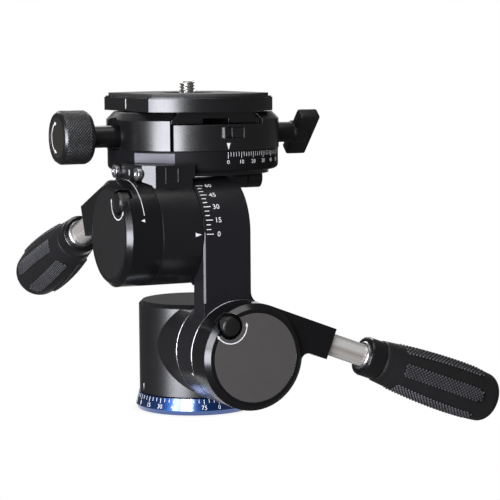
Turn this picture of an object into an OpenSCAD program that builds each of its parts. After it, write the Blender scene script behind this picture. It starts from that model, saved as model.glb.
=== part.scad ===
// Four-way tripod head: a panning base, two tilts at right angles and a panning top,
// each tilt held by a lever with a padded grip, under a dovetail clamp with a round camera plate.
// Millimetres, +Z up. The origin is on the lower pan axis, at the underside of the base ring.
// The lower tilt axis runs along Y, the upper tilt axis along X, and the front is -Y.

/* [Base and pillar] */
// Radius of the base ring where it is widest
ring_r = 24.6; // [24:0.1:30]
// Radius of the base ring at its top edge
ring_top_r = 23.4; // [20:0.1:24]
// Height of the base ring
ring_h = 6.7; // [5:0.1:10]
// Radius of the turning pillar
pillar_r = 22.9; // [21:0.1:28]
// Height of the pillar from its foot to its top
pillar_h = 37.5; // [37:0.1:44]
// Chamfer round the top of the pillar
pillar_chamfer = 1.5; // [0.5:0.1:2.5]
// Wall left round the hollow of the pillar
pillar_wall = 6.9; // [4:0.1:8]
// Thickness of the pillar floor that turns on the spindle
pillar_floor_t = 11; // [9:0.1:11.5]
// Radius of the pan spindle
spindle_r = 8; // [7.5:0.1:9.5]
// Radius of the foot flange of the pan spindle
spindle_flange_r = 13; // [11:0.1:16]
// Thickness of the foot flange of the pan spindle
spindle_flange_t = 3; // [2:0.1:4.5]
// Radius of the tripod thread insert
insert_r = 6; // [5.2:0.1:7]
// Depth of the tripod thread insert
insert_h = 12; // [9:0.1:16]
// Minor radius of the 3/8 inch tripod thread
tripod_thread_r = 3.97; // [3.9:0.01:4.1]
// Radius of the pan lock knob at the back of the pillar
pan_knob_r = 6.2; // [4.5:0.1:6.8]
// Length of the pan lock knob
pan_knob_l = 9; // [6:0.1:14]

/* [Tilt joints] */
// Radius of the tilt discs, drums and lever hubs
tilt_r = 21; // [20:0.1:23]
// How far the pillar boss stands in front of the pillar
boss_proud = 6.5; // [4:0.1:10]
// Radius of both tilt shafts
shaft_r = 4; // [3:0.1:5]
// Radius of the head of a tilt shaft
shaft_head_r = 8; // [7:0.1:9]
// Thickness of the head of a tilt shaft
shaft_head_t = 4; // [3:0.1:4.5]
// Radius of the friction washers
friction_r = 14; // [11:0.1:16]
// Thickness of the friction washers
friction_t = 1; // [0.8:0.1:1.5]

/* [Arm] */
// Distance between the lower and the upper tilt axis
arm_span = 47.35; // [46:0.05:60]
// Thickness of the lower disc of the arm
arm_disc_t = 14.6; // [12:0.1:20]
// Thickness of the upright plate of the arm
arm_plate_t = 10; // [7:0.1:12]
// Width of the arm along the upper tilt axis
arm_w = 20; // [16:0.1:24]
// How far the arm sits to the left of the lower tilt axis
arm_shift = 5; // [3:0.1:8]
// Fillet where the plate meets the lower disc
arm_fillet = 5; // [2:0.1:8]
// Fillet where the plate meets the upper drum
drum_fillet = 4; // [2:0.1:6]
// Bevel along the left edge of the arm
arm_bevel = 0.7; // [0.3:0.1:1.2]

/* [Upper tilt body] */
// Width of the upper tilt body along its axis
tilt_w = 16.6; // [14:0.1:20]
// How far the front of the bracket stands before the upper tilt axis
bracket_front = 11.2; // [9:0.1:12]
// How far the bracket foot reaches behind the upper tilt axis
bracket_back = 23.7; // [22:0.1:26]
// How far the bracket foot reaches over the lever hub
bracket_over = 3.1; // [2.5:0.1:3.2]
// Thickness of the bracket foot under the pan disc
foot_t = 1.6; // [1.5:0.1:2.2]
// Height of the bracket lip beside the pan disc
lip_h = 3.5; // [2:0.1:3.6]
// Bevel on the front left corner of the bracket
bracket_bevel = 4.1; // [4:0.1:5]
// Radius of the two bracket screw heads
screw_head_r = 2.6; // [2:0.05:2.6]
// Distance between the two bracket screws
screw_pitch = 23.4; // [20:0.1:24]

/* [Pan disc] */
// Radius of the pan disc
disc_r = 34.85; // [32:0.05:40]
// Height of the pan disc
disc_h = 8.25; // [8:0.05:10]
// Rounding of the lower edge of the pan disc
disc_round = 1.9; // [0.5:0.1:2.5]
// Radius of the top spindle
top_spindle_r = 9; // [8:0.1:10]
// Width of the small plate on the rim of the pan disc
rim_plate_w = 18; // [12:0.1:20]
// Height of the small plate on the rim of the pan disc
rim_plate_h = 4; // [3:0.1:4.1]
// Turn of the small plate from the front towards the left
rim_plate_turn = 50.3; // [45:0.1:60]
// Radius of the pan drag knob under the disc
drag_knob_r = 4.3; // [3:0.1:4.5]
// Length of the pan drag knob
drag_knob_l = 12.6; // [9:0.1:13]

/* [Clamp] */
// Radius of the clamp body and jaw
clamp_r = 35.2; // [33:0.1:40]
// Height of the clamp body up to the groove floor
clamp_h = 10.3; // [9.5:0.1:14]
// Height of the jaws above the groove floor
jaw_h = 4.6; // [4.2:0.1:6]
// Bevel round the top of the jaws
jaw_bevel = 3; // [1:0.1:3.4]
// Width of the dovetail foot where it is widest
dovetail_w = 38; // [36:0.1:40]
// Drop of the 45 degree side of the dovetail
dovetail_drop = 2.5; // [1.5:0.1:2.8]
// How far the dovetail lies to the left of the pan axis
dovetail_shift = 2.2; // [0:0.1:3]
// Gap between the clamp body and the closed jaw
jaw_gap = 1; // [0.5:0.1:2]
// Radius of the clamp knob
knob_r = 10.75; // [8:0.05:10.9]
// Length of the clamp knob
knob_l = 13.6; // [10:0.1:20]
// Length of the clamp knob neck outside the clamp
knob_neck_l = 10; // [8:0.1:14]
// Radius of the clamp knob neck
knob_neck_r = 4.45; // [3.6:0.05:5]
// Radius of the clamp screw
clamp_screw_r = 3; // [2.5:0.1:3.4]
// Height of the clamp knob axis above the bottom of the clamp body
knob_rise = 5.3; // [5.1:0.1:6]
// Half length of the wing lever
wing_half = 12; // [9:0.1:12.5]
// Thickness of the wing lever lobes
wing_t = 5.6; // [4:0.1:7]
// Reach of the wing lever along its axis
wing_l = 8.6; // [6:0.1:12]
// Length of the wing lever neck outside the clamp
wing_neck_l = 10.4; // [8:0.1:14]
// Turn of the wing lever from upright
wing_turn = 43; // [0:1:90]

/* [Camera plate] */
// Radius of the round camera plate
plate_r = 36; // [34:0.1:40]
// Half width of the plate between its two flats
plate_half_w = 27; // [25:0.1:30]
// Thickness of the camera plate
plate_t = 5.9; // [4.5:0.1:8]
// Half length of the dovetail foot
plate_foot_half = 28; // [24:0.1:28.5]
// Thickness of the rubber pad
pad_t = 1.2; // [0.8:0.1:2]
// Margin of the plate left bare round the pad
pad_margin = 1.6; // [1:0.1:3]
// Radius of the round opening in the pad
pad_hole_r = 10.5; // [8:0.1:14]
// Radius of the 1/4 inch camera screw
camera_screw_r = 3.175; // [3.1:0.005:3.2]
// Height of the camera screw above the pad
camera_screw_h = 4.9; // [4:0.1:6]

/* [Levers] */
// Thickness of a lever hub
hub_t = 14.4; // [13.5:0.1:17]
// Bevel round the face of a lever hub
hub_bevel = 2; // [1:0.1:2.4]
// Radius of the face plate of a lever hub
face_r = 17.4; // [15.5:0.1:18]
// Thickness of the face plate
face_t = 1.2; // [0.8:0.1:1.6]
// Droop of the lower handle below level
lower_droop = 21; // [10:0.5:30]
// Droop of the upper handle below level
upper_droop = 21.5; // [20:0.5:30]
// Distance from the tilt axis to the end of the lever lug
lug_reach = 31; // [29:0.1:36]
// Width of the lever lug across the handle
lug_w = 12.6; // [11:0.1:15]
// Fillet under the lever lug
lug_fillet = 3; // [1:0.1:5]
// Radius of the handle rod
rod_r = 4.5; // [3.5:0.1:4.8]
// Bare length of the handle rod
rod_bare = 17.6; // [10:0.1:30]
// Length of the ferrule on the handle rod
ferrule_l = 7.5; // [5:0.1:10]
// Radius of the grip at the ferrule
grip_front_r = 8.4; // [7:0.1:9.5]
// Radius of the grip where it is fullest
grip_r = 11; // [10:0.1:11.5]
// Radius of the grip at its far end
grip_end_r = 9.6; // [8:0.1:10.5]
// Length of the grip
grip_l = 56.7; // [50:0.1:70]
// Width of a grip pad
pad_w = 6.2; // [5:0.1:7]
// Length of a grip pad
pad_l = 40; // [30:0.1:42]
// How far a grip pad stands proud of the grip
pad_proud = 0.6; // [0.3:0.05:1]
// Radius of the small pull knob on a lever hub
pull_r = 4; // [3:0.1:4.4]
// Distance of the pull knob from the tilt axis
pull_reach = 16.4; // [16:0.1:16.8]
// Turn of the pull knob from the handle
pull_turn = 150; // [140:1:160]
// Travel of the pull knob
pull_travel = 2.5; // [1.5:0.1:2.6]

/* [Clearances] */
// Running gap between faces that turn on each other
run_gap = 0.2; // [0.15:0.05:0.4]
// Radial clearance of a shaft in its bore
bore_gap = 0.05; // [0.02:0.01:0.09]
// Clearance of a piece fixed in its seat
seat_gap = 0.02; // [0.01:0.01:0.04]
// Clearance of a piece that slides in its guide
slide_gap = 0.2; // [0.15:0.05:0.4]
// Clear space kept between pieces that pass each other
pass_gap = 0.55; // [0.4:0.05:1]

/* [Hidden] */
$fn = 96;
eps = 0.5;

// Heights of the base and pillar
pillar_z = ring_h + run_gap + 0.1;
pillar_top = pillar_z + pillar_h;
cap_z = pillar_top - pillar_chamfer;
floor_z = pillar_z + pillar_floor_t;
hollow_r = pillar_r - pillar_wall;
washer_t = 1;
washer_z = floor_z + run_gap;
nut_z = washer_z + washer_t;
nut_h = 3.4;
nut_r = spindle_r + 2.6;
spindle_top = nut_z + nut_h;
ring_widest = 0.27 * ring_h;
ring_foot_bevel = 0.8;
cap_spigot_h = 3;
cap_spigot_r = hollow_r - seat_gap;
pan_screw_r = 2;
pan_lock_z = pillar_z + pan_knob_r + 0.8;
pan_knob_gap = 1;
pan_shoe_r = 2.6;
pan_shoe_t = 2.4;

// The lower tilt stack, measured outwards along -Y from the pan axis
boss_step = 0.3;
boss_r = tilt_r - boss_step;
lower_z = pillar_z + run_gap + boss_r;
boss_face = pillar_r + boss_proud;
head_seat = hollow_r + 1;
arm_back = boss_face + run_gap;
arm_front = arm_back + arm_disc_t;
plate_back = arm_front - arm_plate_t;
lower_hub = arm_front + run_gap;

// The upper tilt stack, measured outwards along -X from the pan axis
upper_y = -(arm_front - tilt_r);
upper_z = lower_z + arm_span;
arm_end = arm_shift + arm_w / 2;
arm_start = arm_end - arm_w;
tilt_start = arm_end + run_gap;
tilt_end = tilt_start + tilt_w;
upper_hub = tilt_end + run_gap;
end_cap_r = 15;
end_cap_t = 1.6;
upper_head = arm_start + end_cap_t + 1.4;

// Heights of the upper part
foot_z = upper_z + tilt_r + pass_gap;
disc_z = foot_z + foot_t;
disc_top = disc_z + disc_h;
clamp_z = disc_top + run_gap;
groove_z = clamp_z + clamp_h;
jaw_top = groove_z + jaw_h;
plate_z = jaw_top + 0.4;
plate_top = plate_z + plate_t;
pad_top = plate_top + pad_t;
screw_top = pad_top + camera_screw_h;
knob_z = clamp_z + knob_rise;

// Bracket
bracket_y = upper_y - bracket_front;
bracket_left = tilt_end + bracket_over;
bracket_rear_y = upper_y + bracket_back;
lip_top = disc_z + lip_h;
lip_back = 14;
lip_back_y = upper_y + lip_back;
bracket_right = arm_end - 0.9;
saddle_r = tilt_r + 0.4;
foot_disc_r = 31;
bracket_screw_z = disc_z + 0.1;
bracket_screw_back = 6.1;
bracket_screw_mid = upper_y + bracket_screw_back;
bracket_screw_r = 1.2;
bracket_screw_l = 11;
bracket_head_t = 1.9;
disc_screw_r = 1.5;
disc_screw_head_r = 3;
disc_screw_ring = 18.5;
disc_screw_l = 7;
drag_lug_x = 10;
drag_lug_w = 9;
drag_x = 16.9;
drag_z = disc_z - drag_knob_r - 0.3;
drag_stem_r = 1.6;
rim_flat = sqrt(pow(disc_r, 2) - pow(rim_plate_w / 2 + 0.4, 2));
rim_plate_t = 1;
rim_plate_z = disc_top - 0.6 - rim_plate_h;
spindle_foot_r = 14;
spindle_foot_t = 2;
retainer_r = 13.5;
retainer_t = 1.8;
web_top = groove_z - 2.8;
retainer_z = web_top + run_gap;

// Clamp
body_left = dovetail_shift + dovetail_w / 2 - 0.6;
jaw_right = body_left + jaw_gap;
groove_right = dovetail_w / 2 - dovetail_shift + slide_gap;
slant_z = groove_z + 1.8;
guide_pin_r = 2;
guide_pin_y = 16;
guide_pin_in = 9;
jaw_travel = 5;
guide_pin_l = guide_pin_in + jaw_gap + jaw_travel + 1;
spring_r = 3.2;
spring_depth = 3.2;
scoop_r = 8.5;
scoop_depth = 2.2;
scoop_inner_r = 5.4;
clamp_neck_x = sqrt(pow(clamp_r, 2) - pow(scoop_r, 2)) - scoop_depth + 0.3;
knob_start = clamp_r + knob_neck_l;
knob_end = knob_start + knob_l;
label_r = 8;
label_t = 0.6;
clamp_screw_tip = retainer_r + pass_gap;
clamp_screw_in = 4;
wing_start = clamp_r + wing_neck_l;
wing_neck_r = 4.2;
wing_screw_r = min(2.2, retainer_z - knob_z - run_gap);
wing_screw_in = 3;
wing_seat = clamp_r - 1.4;
catch_w = 10;
catch_h = 4.4;
catch_x = 2.1;
catch_block_w = 5;
catch_depth = 3;
catch_drop = 5.4;
catch_z = groove_z - catch_drop;
catch_y = sqrt(pow(clamp_r, 2) - pow(catch_w / 2 + catch_x, 2));
catch_pin_r = 1.1;

// Camera plate
foot_bottom = groove_z + 0.3;
foot_slant_z = slant_z;
foot_half = dovetail_w / 2;
neck_half = foot_half - dovetail_drop;
slot_w = 11;
slot_h = 2;
screw_head_z = foot_bottom + 0.5;
screw_head_t = 2.6;
camera_head_r = 7.1;
camera_neck_r = camera_screw_r - 0.6;
thread_z = plate_top + 0.1;
plate_edge = 0.5;

// Levers, drawn with the tilt axis on Z, the face up and the handle along +X
rod_off = tilt_r - lug_w / 2;
lug_low = tilt_r - lug_w;
lug_bottom = 1;
lug_top = hub_t - hub_bevel - 0.2;
rod_z = (lug_bottom + lug_top) / 2;
rod_in = 12;
rod_tail = 20;
ferrule_x = lug_reach + rod_bare;
grip_x = ferrule_x + ferrule_l;
face_z = hub_t - face_t;
core_r = 9.4;
core_floor = 2.4;
lock_nut_r = 8;
lock_nut_h = 5;
cone_t = 0.8;
cone_rise = 0.5;
cone_r = 7.6;
cone_count = 2;
pull_x = pull_reach * cos(pull_turn);
pull_y = pull_reach * sin(pull_turn);
notch_r = pull_r + 1.1;
notch_depth = 4.6;
notch_z = hub_t - notch_depth;
pull_bottom = notch_z + 0.3;
pull_h = 5;
pull_pin_r = 1.4;
pull_pin_tip = 0.6;
pull_spring_r = 2.6;
pull_spring_in_r = 1.9;
pull_shoulder_t = 0.8;
pull_pocket_z = 2.2;
pull_spring_top = notch_z - pull_shoulder_t;
pull_spring_l = 2.4 * pull_travel;
grip_steps = 14;
grip_end_steps = 6;
grip_end_round = 5;
grip_full_at = 0.66;
grip_round_start = 1 - grip_end_round / grip_l;
pad_start = 7.5;
pad_depth = 0.8;

// Frames of the two tilt axes: Z runs outwards to the lever, and the lower X is right,
// the upper X is front
module at_lower_tilt(out = 0) {
    translate([0, 0, lower_z]) rotate([90, 0, 0]) translate([0, 0, out]) children();
}

module at_upper_tilt(out = 0) {
    translate([0, upper_y, upper_z]) rotate([0, 0, -90]) rotate([90, 0, 0])
        translate([0, 0, out]) children();
}

// A cylinder that runs along +X from x1 to x2, at the height of z
module bar_x(r, x1, x2, y = 0, z = 0) {
    translate([x1, y, z]) rotate([0, 90, 0]) cylinder(r = r, h = x2 - x1);
}

module ring(r_out, r_in, h) {
    difference() {
        cylinder(r = r_out, h = h);
        translate([0, 0, -eps]) cylinder(r = r_in, h = h + 2 * eps);
    }
}

// Fills the corner between a disc of radius r and an upright edge beside its centre
module edge_fillet(r, edge, fillet) {
    c = [edge + fillet, sqrt(pow(r + fillet, 2) - pow(edge + fillet, 2))];
    difference() {
        polygon([[0, 0], c * r / (r + fillet), c, [edge, c[1]]]);
        translate(c) circle(r = fillet);
    }
}

// Base

module base_ring() {
    color("steelblue") difference() {
        rotate_extrude() polygon([[0, 0], [ring_r - ring_foot_bevel, 0], [ring_r, ring_widest],
            [ring_top_r, ring_h], [0, ring_h]]);
        translate([0, 0, -eps]) cylinder(r = spindle_r + seat_gap, h = ring_h + 2 * eps);
        translate([0, 0, -eps]) cylinder(r = spindle_flange_r + seat_gap, h = spindle_flange_t + eps);
    }
}

module pan_spindle() {
    color("silver") difference() {
        union() {
            cylinder(r = spindle_flange_r, h = spindle_flange_t);
            cylinder(r = spindle_r, h = spindle_top);
        }
        translate([0, 0, -eps]) cylinder(r = insert_r + seat_gap, h = insert_h + eps);
    }
}

module thread_insert() {
    color("goldenrod") difference() {
        cylinder(r = insert_r, h = insert_h);
        translate([0, 0, -eps]) cylinder(r = tripod_thread_r, h = insert_h - 1 + eps);
    }
}

module pan_washer() {
    color("peru") translate([0, 0, washer_z])
        ring(min(nut_r + 2, hollow_r - 1), spindle_r + bore_gap, washer_t);
}

module pan_nut() {
    color("silver") translate([0, 0, nut_z]) ring(nut_r, spindle_r + seat_gap, nut_h);
}

// Pillar

module pillar() {
    color("dimgray") difference() {
        union() {
            translate([0, 0, pillar_z]) cylinder(r = pillar_r, h = cap_z - pillar_z);
            intersection() {
                at_lower_tilt() cylinder(r = boss_r, h = boss_face);
                translate([-tilt_r, -boss_face - eps, pillar_z])
                    cube([2 * tilt_r, boss_face + eps, cap_z - pillar_z]);
            }
        }
        translate([0, 0, floor_z]) cylinder(r = hollow_r, h = pillar_h);
        translate([0, 0, pillar_z - eps]) cylinder(r = spindle_r + bore_gap, h = pillar_floor_t + 2 * eps);
        at_lower_tilt() cylinder(r = shaft_head_r + seat_gap, h = head_seat);
        at_lower_tilt() cylinder(r = shaft_r + seat_gap, h = boss_face + eps);
        translate([0, 0, pan_lock_z]) rotate([-90, 0, 0]) {
            cylinder(r = pan_screw_r + bore_gap, h = pillar_r + eps);
            cylinder(r = pan_shoe_r + bore_gap, h = spindle_r + pan_shoe_t + 2);
        }
    }
}

module pillar_cap() {
    color("dimgray") union() {
        translate([0, 0, cap_z])
            cylinder(r1 = pillar_r, r2 = pillar_r - pillar_chamfer, h = pillar_chamfer);
        translate([0, 0, cap_z - cap_spigot_h]) cylinder(r = cap_spigot_r, h = cap_spigot_h);
    }
}

// The lower shaft is fixed in the pillar, the upper one in the arm; the nut of the lever
// draws the moving part against them
module tilt_shaft(head, tip) {
    translate([0, 0, head]) cylinder(r = shaft_head_r, h = shaft_head_t);
    translate([0, 0, head]) cylinder(r = shaft_r, h = tip - head);
}

module lower_tilt_shaft() {
    color("silver") at_lower_tilt()
        tilt_shaft(head_seat - shaft_head_t, lower_hub + core_floor + 2 + lock_nut_h);
}

module pan_lock_knob() {
    color("dimgray") translate([0, pillar_r + pan_knob_gap, pan_lock_z]) rotate([-90, 0, 0])
        rotate_extrude() polygon([[pan_screw_r + seat_gap, 0], [pan_knob_r - 0.8, 0], [pan_knob_r, 0.8],
            [pan_knob_r, pan_knob_l - 1], [pan_knob_r - 1, pan_knob_l],
            [pan_screw_r + seat_gap, pan_knob_l]]);
}

module pan_lock_screw() {
    tip = spindle_r + run_gap;
    color("silver") translate([0, 0, pan_lock_z]) rotate([-90, 0, 0]) {
        translate([0, 0, tip]) cylinder(r = pan_screw_r, h = pillar_r + pan_knob_gap + pan_knob_l - tip);
        translate([0, 0, tip]) cylinder(r = pan_shoe_r, h = pan_shoe_t);
    }
}

// Arm

module arm_plate_outline() {
    translate([-arm_end, 0]) square([arm_w, arm_span]);
    edge_fillet(tilt_r, -arm_start, arm_fillet);
    mirror([1, 0]) edge_fillet(tilt_r, arm_end, arm_fillet);
}

// Seen along the upper tilt axis, the plate and the drum are one outline
module arm_side_outline() {
    front = arm_front + upper_y;
    back = plate_back + upper_y;
    c = [back - drum_fillet, -sqrt(pow(tilt_r + drum_fillet, 2) - pow(back - drum_fillet, 2))];
    circle(r = tilt_r);
    translate([back, c[1]]) square([front - back, -c[1]]);
    difference() {
        polygon([[0, 0], c * tilt_r / (tilt_r + drum_fillet), c, [back, c[1]]]);
        translate(c) circle(r = drum_fillet);
    }
}

module arm() {
    color("dimgray") difference() {
        union() {
            at_lower_tilt(arm_back) cylinder(r = tilt_r, h = arm_disc_t);
            at_lower_tilt(plate_back) linear_extrude(arm_plate_t) arm_plate_outline();
            at_upper_tilt(arm_start) linear_extrude(arm_w) arm_side_outline();
        }
        at_lower_tilt() {
            translate([0, 0, arm_back - eps]) cylinder(r = shaft_r + bore_gap, h = arm_disc_t + 2 * eps);
            translate([0, 0, arm_back - eps]) cylinder(r = friction_r + seat_gap, h = friction_t + eps);
        }
        at_upper_tilt() {
            translate([0, 0, arm_start - eps]) cylinder(r = shaft_r + seat_gap, h = arm_w + 2 * eps);
            translate([0, 0, arm_start - eps]) cylinder(r = end_cap_r + seat_gap, h = end_cap_t + eps);
            translate([0, 0, arm_start]) cylinder(r = shaft_head_r + seat_gap,
                h = upper_head + shaft_head_t - arm_start);
            translate([0, 0, arm_end - friction_t]) cylinder(r = friction_r + seat_gap, h = friction_t + eps);
            // the bright bevel down the left edge of the drum and the plate
            translate([0, 0, arm_end - arm_bevel]) difference() {
                translate([0, 0, eps]) cylinder(r = tilt_r + eps, h = arm_bevel);
                translate([0, 0, -eps])
                    cylinder(r1 = tilt_r + eps, r2 = tilt_r - arm_bevel, h = arm_bevel + eps);
                translate([-2 * tilt_r, -2 * tilt_r, -eps]) cube([4 * tilt_r, 2 * tilt_r, 2]);
            }
        }
        translate([-arm_end, -arm_front, lower_z + tilt_r - arm_bevel])
            linear_extrude(arm_span - tilt_r + 2 * arm_bevel)
                polygon([[-eps, -eps], [arm_bevel + eps, -eps], [-eps, arm_bevel + eps]]);
    }
}

module arm_end_cap() {
    color("dimgray") at_upper_tilt(arm_start)
        cylinder(r1 = end_cap_r - 0.5, r2 = end_cap_r, h = end_cap_t);
}

module lower_friction_washer() {
    color("peru") at_lower_tilt(arm_back) ring(friction_r, shaft_r + bore_gap, friction_t);
}

module upper_tilt_shaft() {
    color("silver") at_upper_tilt() tilt_shaft(upper_head, upper_hub + core_floor + 2 + lock_nut_h);
}

module upper_friction_washer() {
    color("peru") at_upper_tilt(arm_end - friction_t) ring(friction_r, shaft_r + bore_gap, friction_t);
}

// Levers

module lower_lever() {
    at_lower_tilt(lower_hub) rotate([0, 0, -lower_droop]) children();
}

module upper_lever() {
    at_upper_tilt(upper_hub) mirror([1, 0, 0]) rotate([0, 0, -upper_droop]) children();
}

module on_rod(along = 0) {
    translate([0, rod_off, rod_z]) rotate([0, 90, 0]) translate([0, 0, along]) children();
}

module at_pull(z = 0) {
    translate([pull_x, pull_y, z]) children();
}

module lug_outline() {
    c = [sqrt(pow(tilt_r + lug_fillet, 2) - pow(lug_low - lug_fillet, 2)), lug_low - lug_fillet];
    translate([0, lug_low]) square([lug_reach, lug_w]);
    difference() {
        polygon([[0, 0], c * tilt_r / (tilt_r + lug_fillet), c, [c[0], lug_low], [0, lug_low]]);
        translate(c) circle(r = lug_fillet);
    }
}

module lever_hub() {
    difference() {
        union() {
            rotate_extrude() polygon([[0, 0], [tilt_r, 0], [tilt_r, hub_t - hub_bevel],
                [tilt_r - hub_bevel, hub_t], [0, hub_t]]);
            translate([0, 0, lug_bottom]) linear_extrude(lug_top - lug_bottom) lug_outline();
        }
        translate([0, 0, face_z]) cylinder(r = face_r + seat_gap, h = face_t + eps);
        translate([0, 0, core_floor]) cylinder(r = core_r, h = hub_t);
        translate([0, 0, -eps]) cylinder(r = shaft_r + bore_gap, h = hub_t);
        on_rod(rod_in) cylinder(r = rod_r + seat_gap, h = lug_reach);
        at_pull(notch_z) cylinder(r = notch_r, h = hub_t);
        at_pull(-eps) cylinder(r = pull_pin_r + bore_gap, h = hub_t);
        at_pull(pull_pocket_z) cylinder(r = pull_spring_r + bore_gap, h = pull_spring_top - pull_pocket_z);
    }
}

module face_plate() {
    difference() {
        translate([0, 0, face_z]) cylinder(r = face_r, h = face_t);
        at_pull(face_z - eps) cylinder(r = notch_r, h = face_t + 2 * eps);
    }
}

module lock_nut() {
    translate([0, 0, core_floor + 2]) ring(lock_nut_r, shaft_r + bore_gap, lock_nut_h);
}

module cone_washers() {
    for (i = [0:cone_count - 1])
        translate([0, 0, core_floor + i * (cone_t + 0.1)]) difference() {
            cylinder(r = cone_r, h = cone_t);
            translate([0, 0, -eps]) cylinder(r = shaft_r + bore_gap, h = cone_t + 2 * eps);
            translate([0, 0, -0.01]) cylinder(r1 = cone_r - 0.6, r2 = shaft_r + bore_gap, h = cone_rise);
        }
}

module rod() {
    on_rod(rod_in) cylinder(r = rod_r, h = ferrule_x + ferrule_l + rod_tail - rod_in);
}

module ferrule() {
    lip = grip_front_r - 0.4;
    on_rod(ferrule_x) rotate_extrude() polygon([[rod_r + seat_gap, 0], [lip - 1.2, 0], [lip - 0.35, 0.35],
        [lip, 1.2], [lip, ferrule_l - 0.8], [lip - 0.4, ferrule_l - 0.8], [lip - 0.4, ferrule_l],
        [rod_r + seat_gap, ferrule_l]]);
}

// Radius of the grip at the share t of its length: a slim neck that swells and draws in a little
function grip_radius(t) = t < grip_full_at
    ? grip_front_r + (grip_r - grip_front_r) * sin(90 * t / grip_full_at)
    : grip_r - (grip_r - grip_end_r) * pow((t - grip_full_at) / (1 - grip_full_at), 2);

function grip_side(grow) = [for (i = [0:grip_steps]) let (t = grip_round_start * i / grip_steps)
    [grip_radius(t) + grow, t * grip_l]];

function grip_end(grow) = [for (i = [1:grip_end_steps]) let (a = 90 * i / grip_end_steps)
    [grip_radius(grip_round_start) + grow - grip_end_round * (1 - cos(a)),
        grip_round_start * grip_l + grip_end_round * sin(a)]];

// The obround blanks of the four pads, standing out from the grip axis
module pad_blanks(grow) {
    half = pad_w / 2 + grow;
    for (turn = [0:60:300]) rotate([0, 0, turn]) rotate([0, 90, 0]) linear_extrude(2 * grip_r) {
        translate([-pad_start - pad_l + pad_w / 2, -half]) square([pad_l - pad_w, 2 * half]);
        for (end = [pad_start + pad_w / 2, pad_start + pad_l - pad_w / 2])
            translate([-end, 0]) circle(r = half);
    }
}

module grip() {
    on_rod(grip_x) difference() {
        rotate_extrude() polygon(concat([[0, 0]], grip_side(0), grip_end(0), [[0, grip_l]]));
        translate([0, 0, -eps]) cylinder(r = rod_r + seat_gap, h = rod_tail + eps);
        intersection() {
            difference() {
                cylinder(r = 2 * grip_r, h = grip_l);
                rotate_extrude() polygon(concat([[0, -eps]], grip_side(-pad_depth),
                    [[0, grip_round_start * grip_l]]));
            }
            pad_blanks(seat_gap);
        }
    }
}

module grip_pads() {
    on_rod(grip_x) intersection() {
        difference() {
            rotate_extrude() polygon(concat([[0, 0]], grip_side(pad_proud),
                [[0, grip_round_start * grip_l]]));
            rotate_extrude() polygon(concat([[0, -eps]], grip_side(seat_gap - pad_depth),
                [[0, grip_l]]));
        }
        pad_blanks(0);
    }
}

module pull_knob() {
    at_pull(pull_bottom) rotate_extrude() polygon([[pull_pin_r + seat_gap, 0], [pull_r, 0],
        [pull_r, pull_h - 0.6], [pull_r - 0.6, pull_h], [pull_pin_r + seat_gap, pull_h]]);
}

// The pin carries a collar under the shoulder of its bore, which the spring pushes inwards
module pull_pin() {
    at_pull(pull_pin_tip) cylinder(r = pull_pin_r, h = pull_bottom + pull_h - pull_pin_tip);
    at_pull(pull_pocket_z)
        cylinder(r = pull_spring_r - 0.1, h = pull_spring_top - pull_spring_l - pull_pocket_z);
}

module pull_spring() {
    at_pull(pull_spring_top - pull_spring_l) ring(pull_spring_r - 0.1, pull_spring_in_r, pull_spring_l);
}

module lower_lever_hub() { color("dimgray") lower_lever() lever_hub(); }
module lower_face_plate() { color("gray") lower_lever() face_plate(); }
module lower_lock_nut() { color("silver") lower_lever() lock_nut(); }
module lower_cone_washers() { color("silver") lower_lever() cone_washers(); }
module lower_rod() { color("gainsboro") lower_lever() rod(); }
module lower_ferrule() { color("dimgray") lower_lever() ferrule(); }
module lower_grip() { color("dimgray") lower_lever() grip(); }
module lower_grip_pads() { color("gray") lower_lever() grip_pads(); }
module lower_pull_knob() { color("dimgray") lower_lever() pull_knob(); }
module lower_pull_pin() { color("silver") lower_lever() pull_pin(); }
module lower_pull_spring() { color("silver") lower_lever() pull_spring(); }
module upper_lever_hub() { color("dimgray") upper_lever() lever_hub(); }
module upper_face_plate() { color("gray") upper_lever() face_plate(); }
module upper_lock_nut() { color("silver") upper_lever() lock_nut(); }
module upper_cone_washers() { color("silver") upper_lever() cone_washers(); }
module upper_rod() { color("gainsboro") upper_lever() rod(); }
module upper_ferrule() { color("dimgray") upper_lever() ferrule(); }
module upper_grip() { color("dimgray") upper_lever() grip(); }
module upper_grip_pads() { color("gray") upper_lever() grip_pads(); }
module upper_pull_knob() { color("dimgray") upper_lever() pull_knob(); }
module upper_pull_pin() { color("silver") upper_lever() pull_pin(); }
module upper_pull_spring() { color("silver") upper_lever() pull_spring(); }

// Upper tilt body with its bracket

// Outline of the bracket from above: its front left corner is cut off so that the clamp knob clears it
module bracket_outline(right, rear_y) {
    polygon([[-bracket_left, bracket_y + bracket_bevel], [-bracket_left + bracket_bevel, bracket_y],
        [-right, bracket_y], [-right, rear_y], [-bracket_left, rear_y]]);
}

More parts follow.
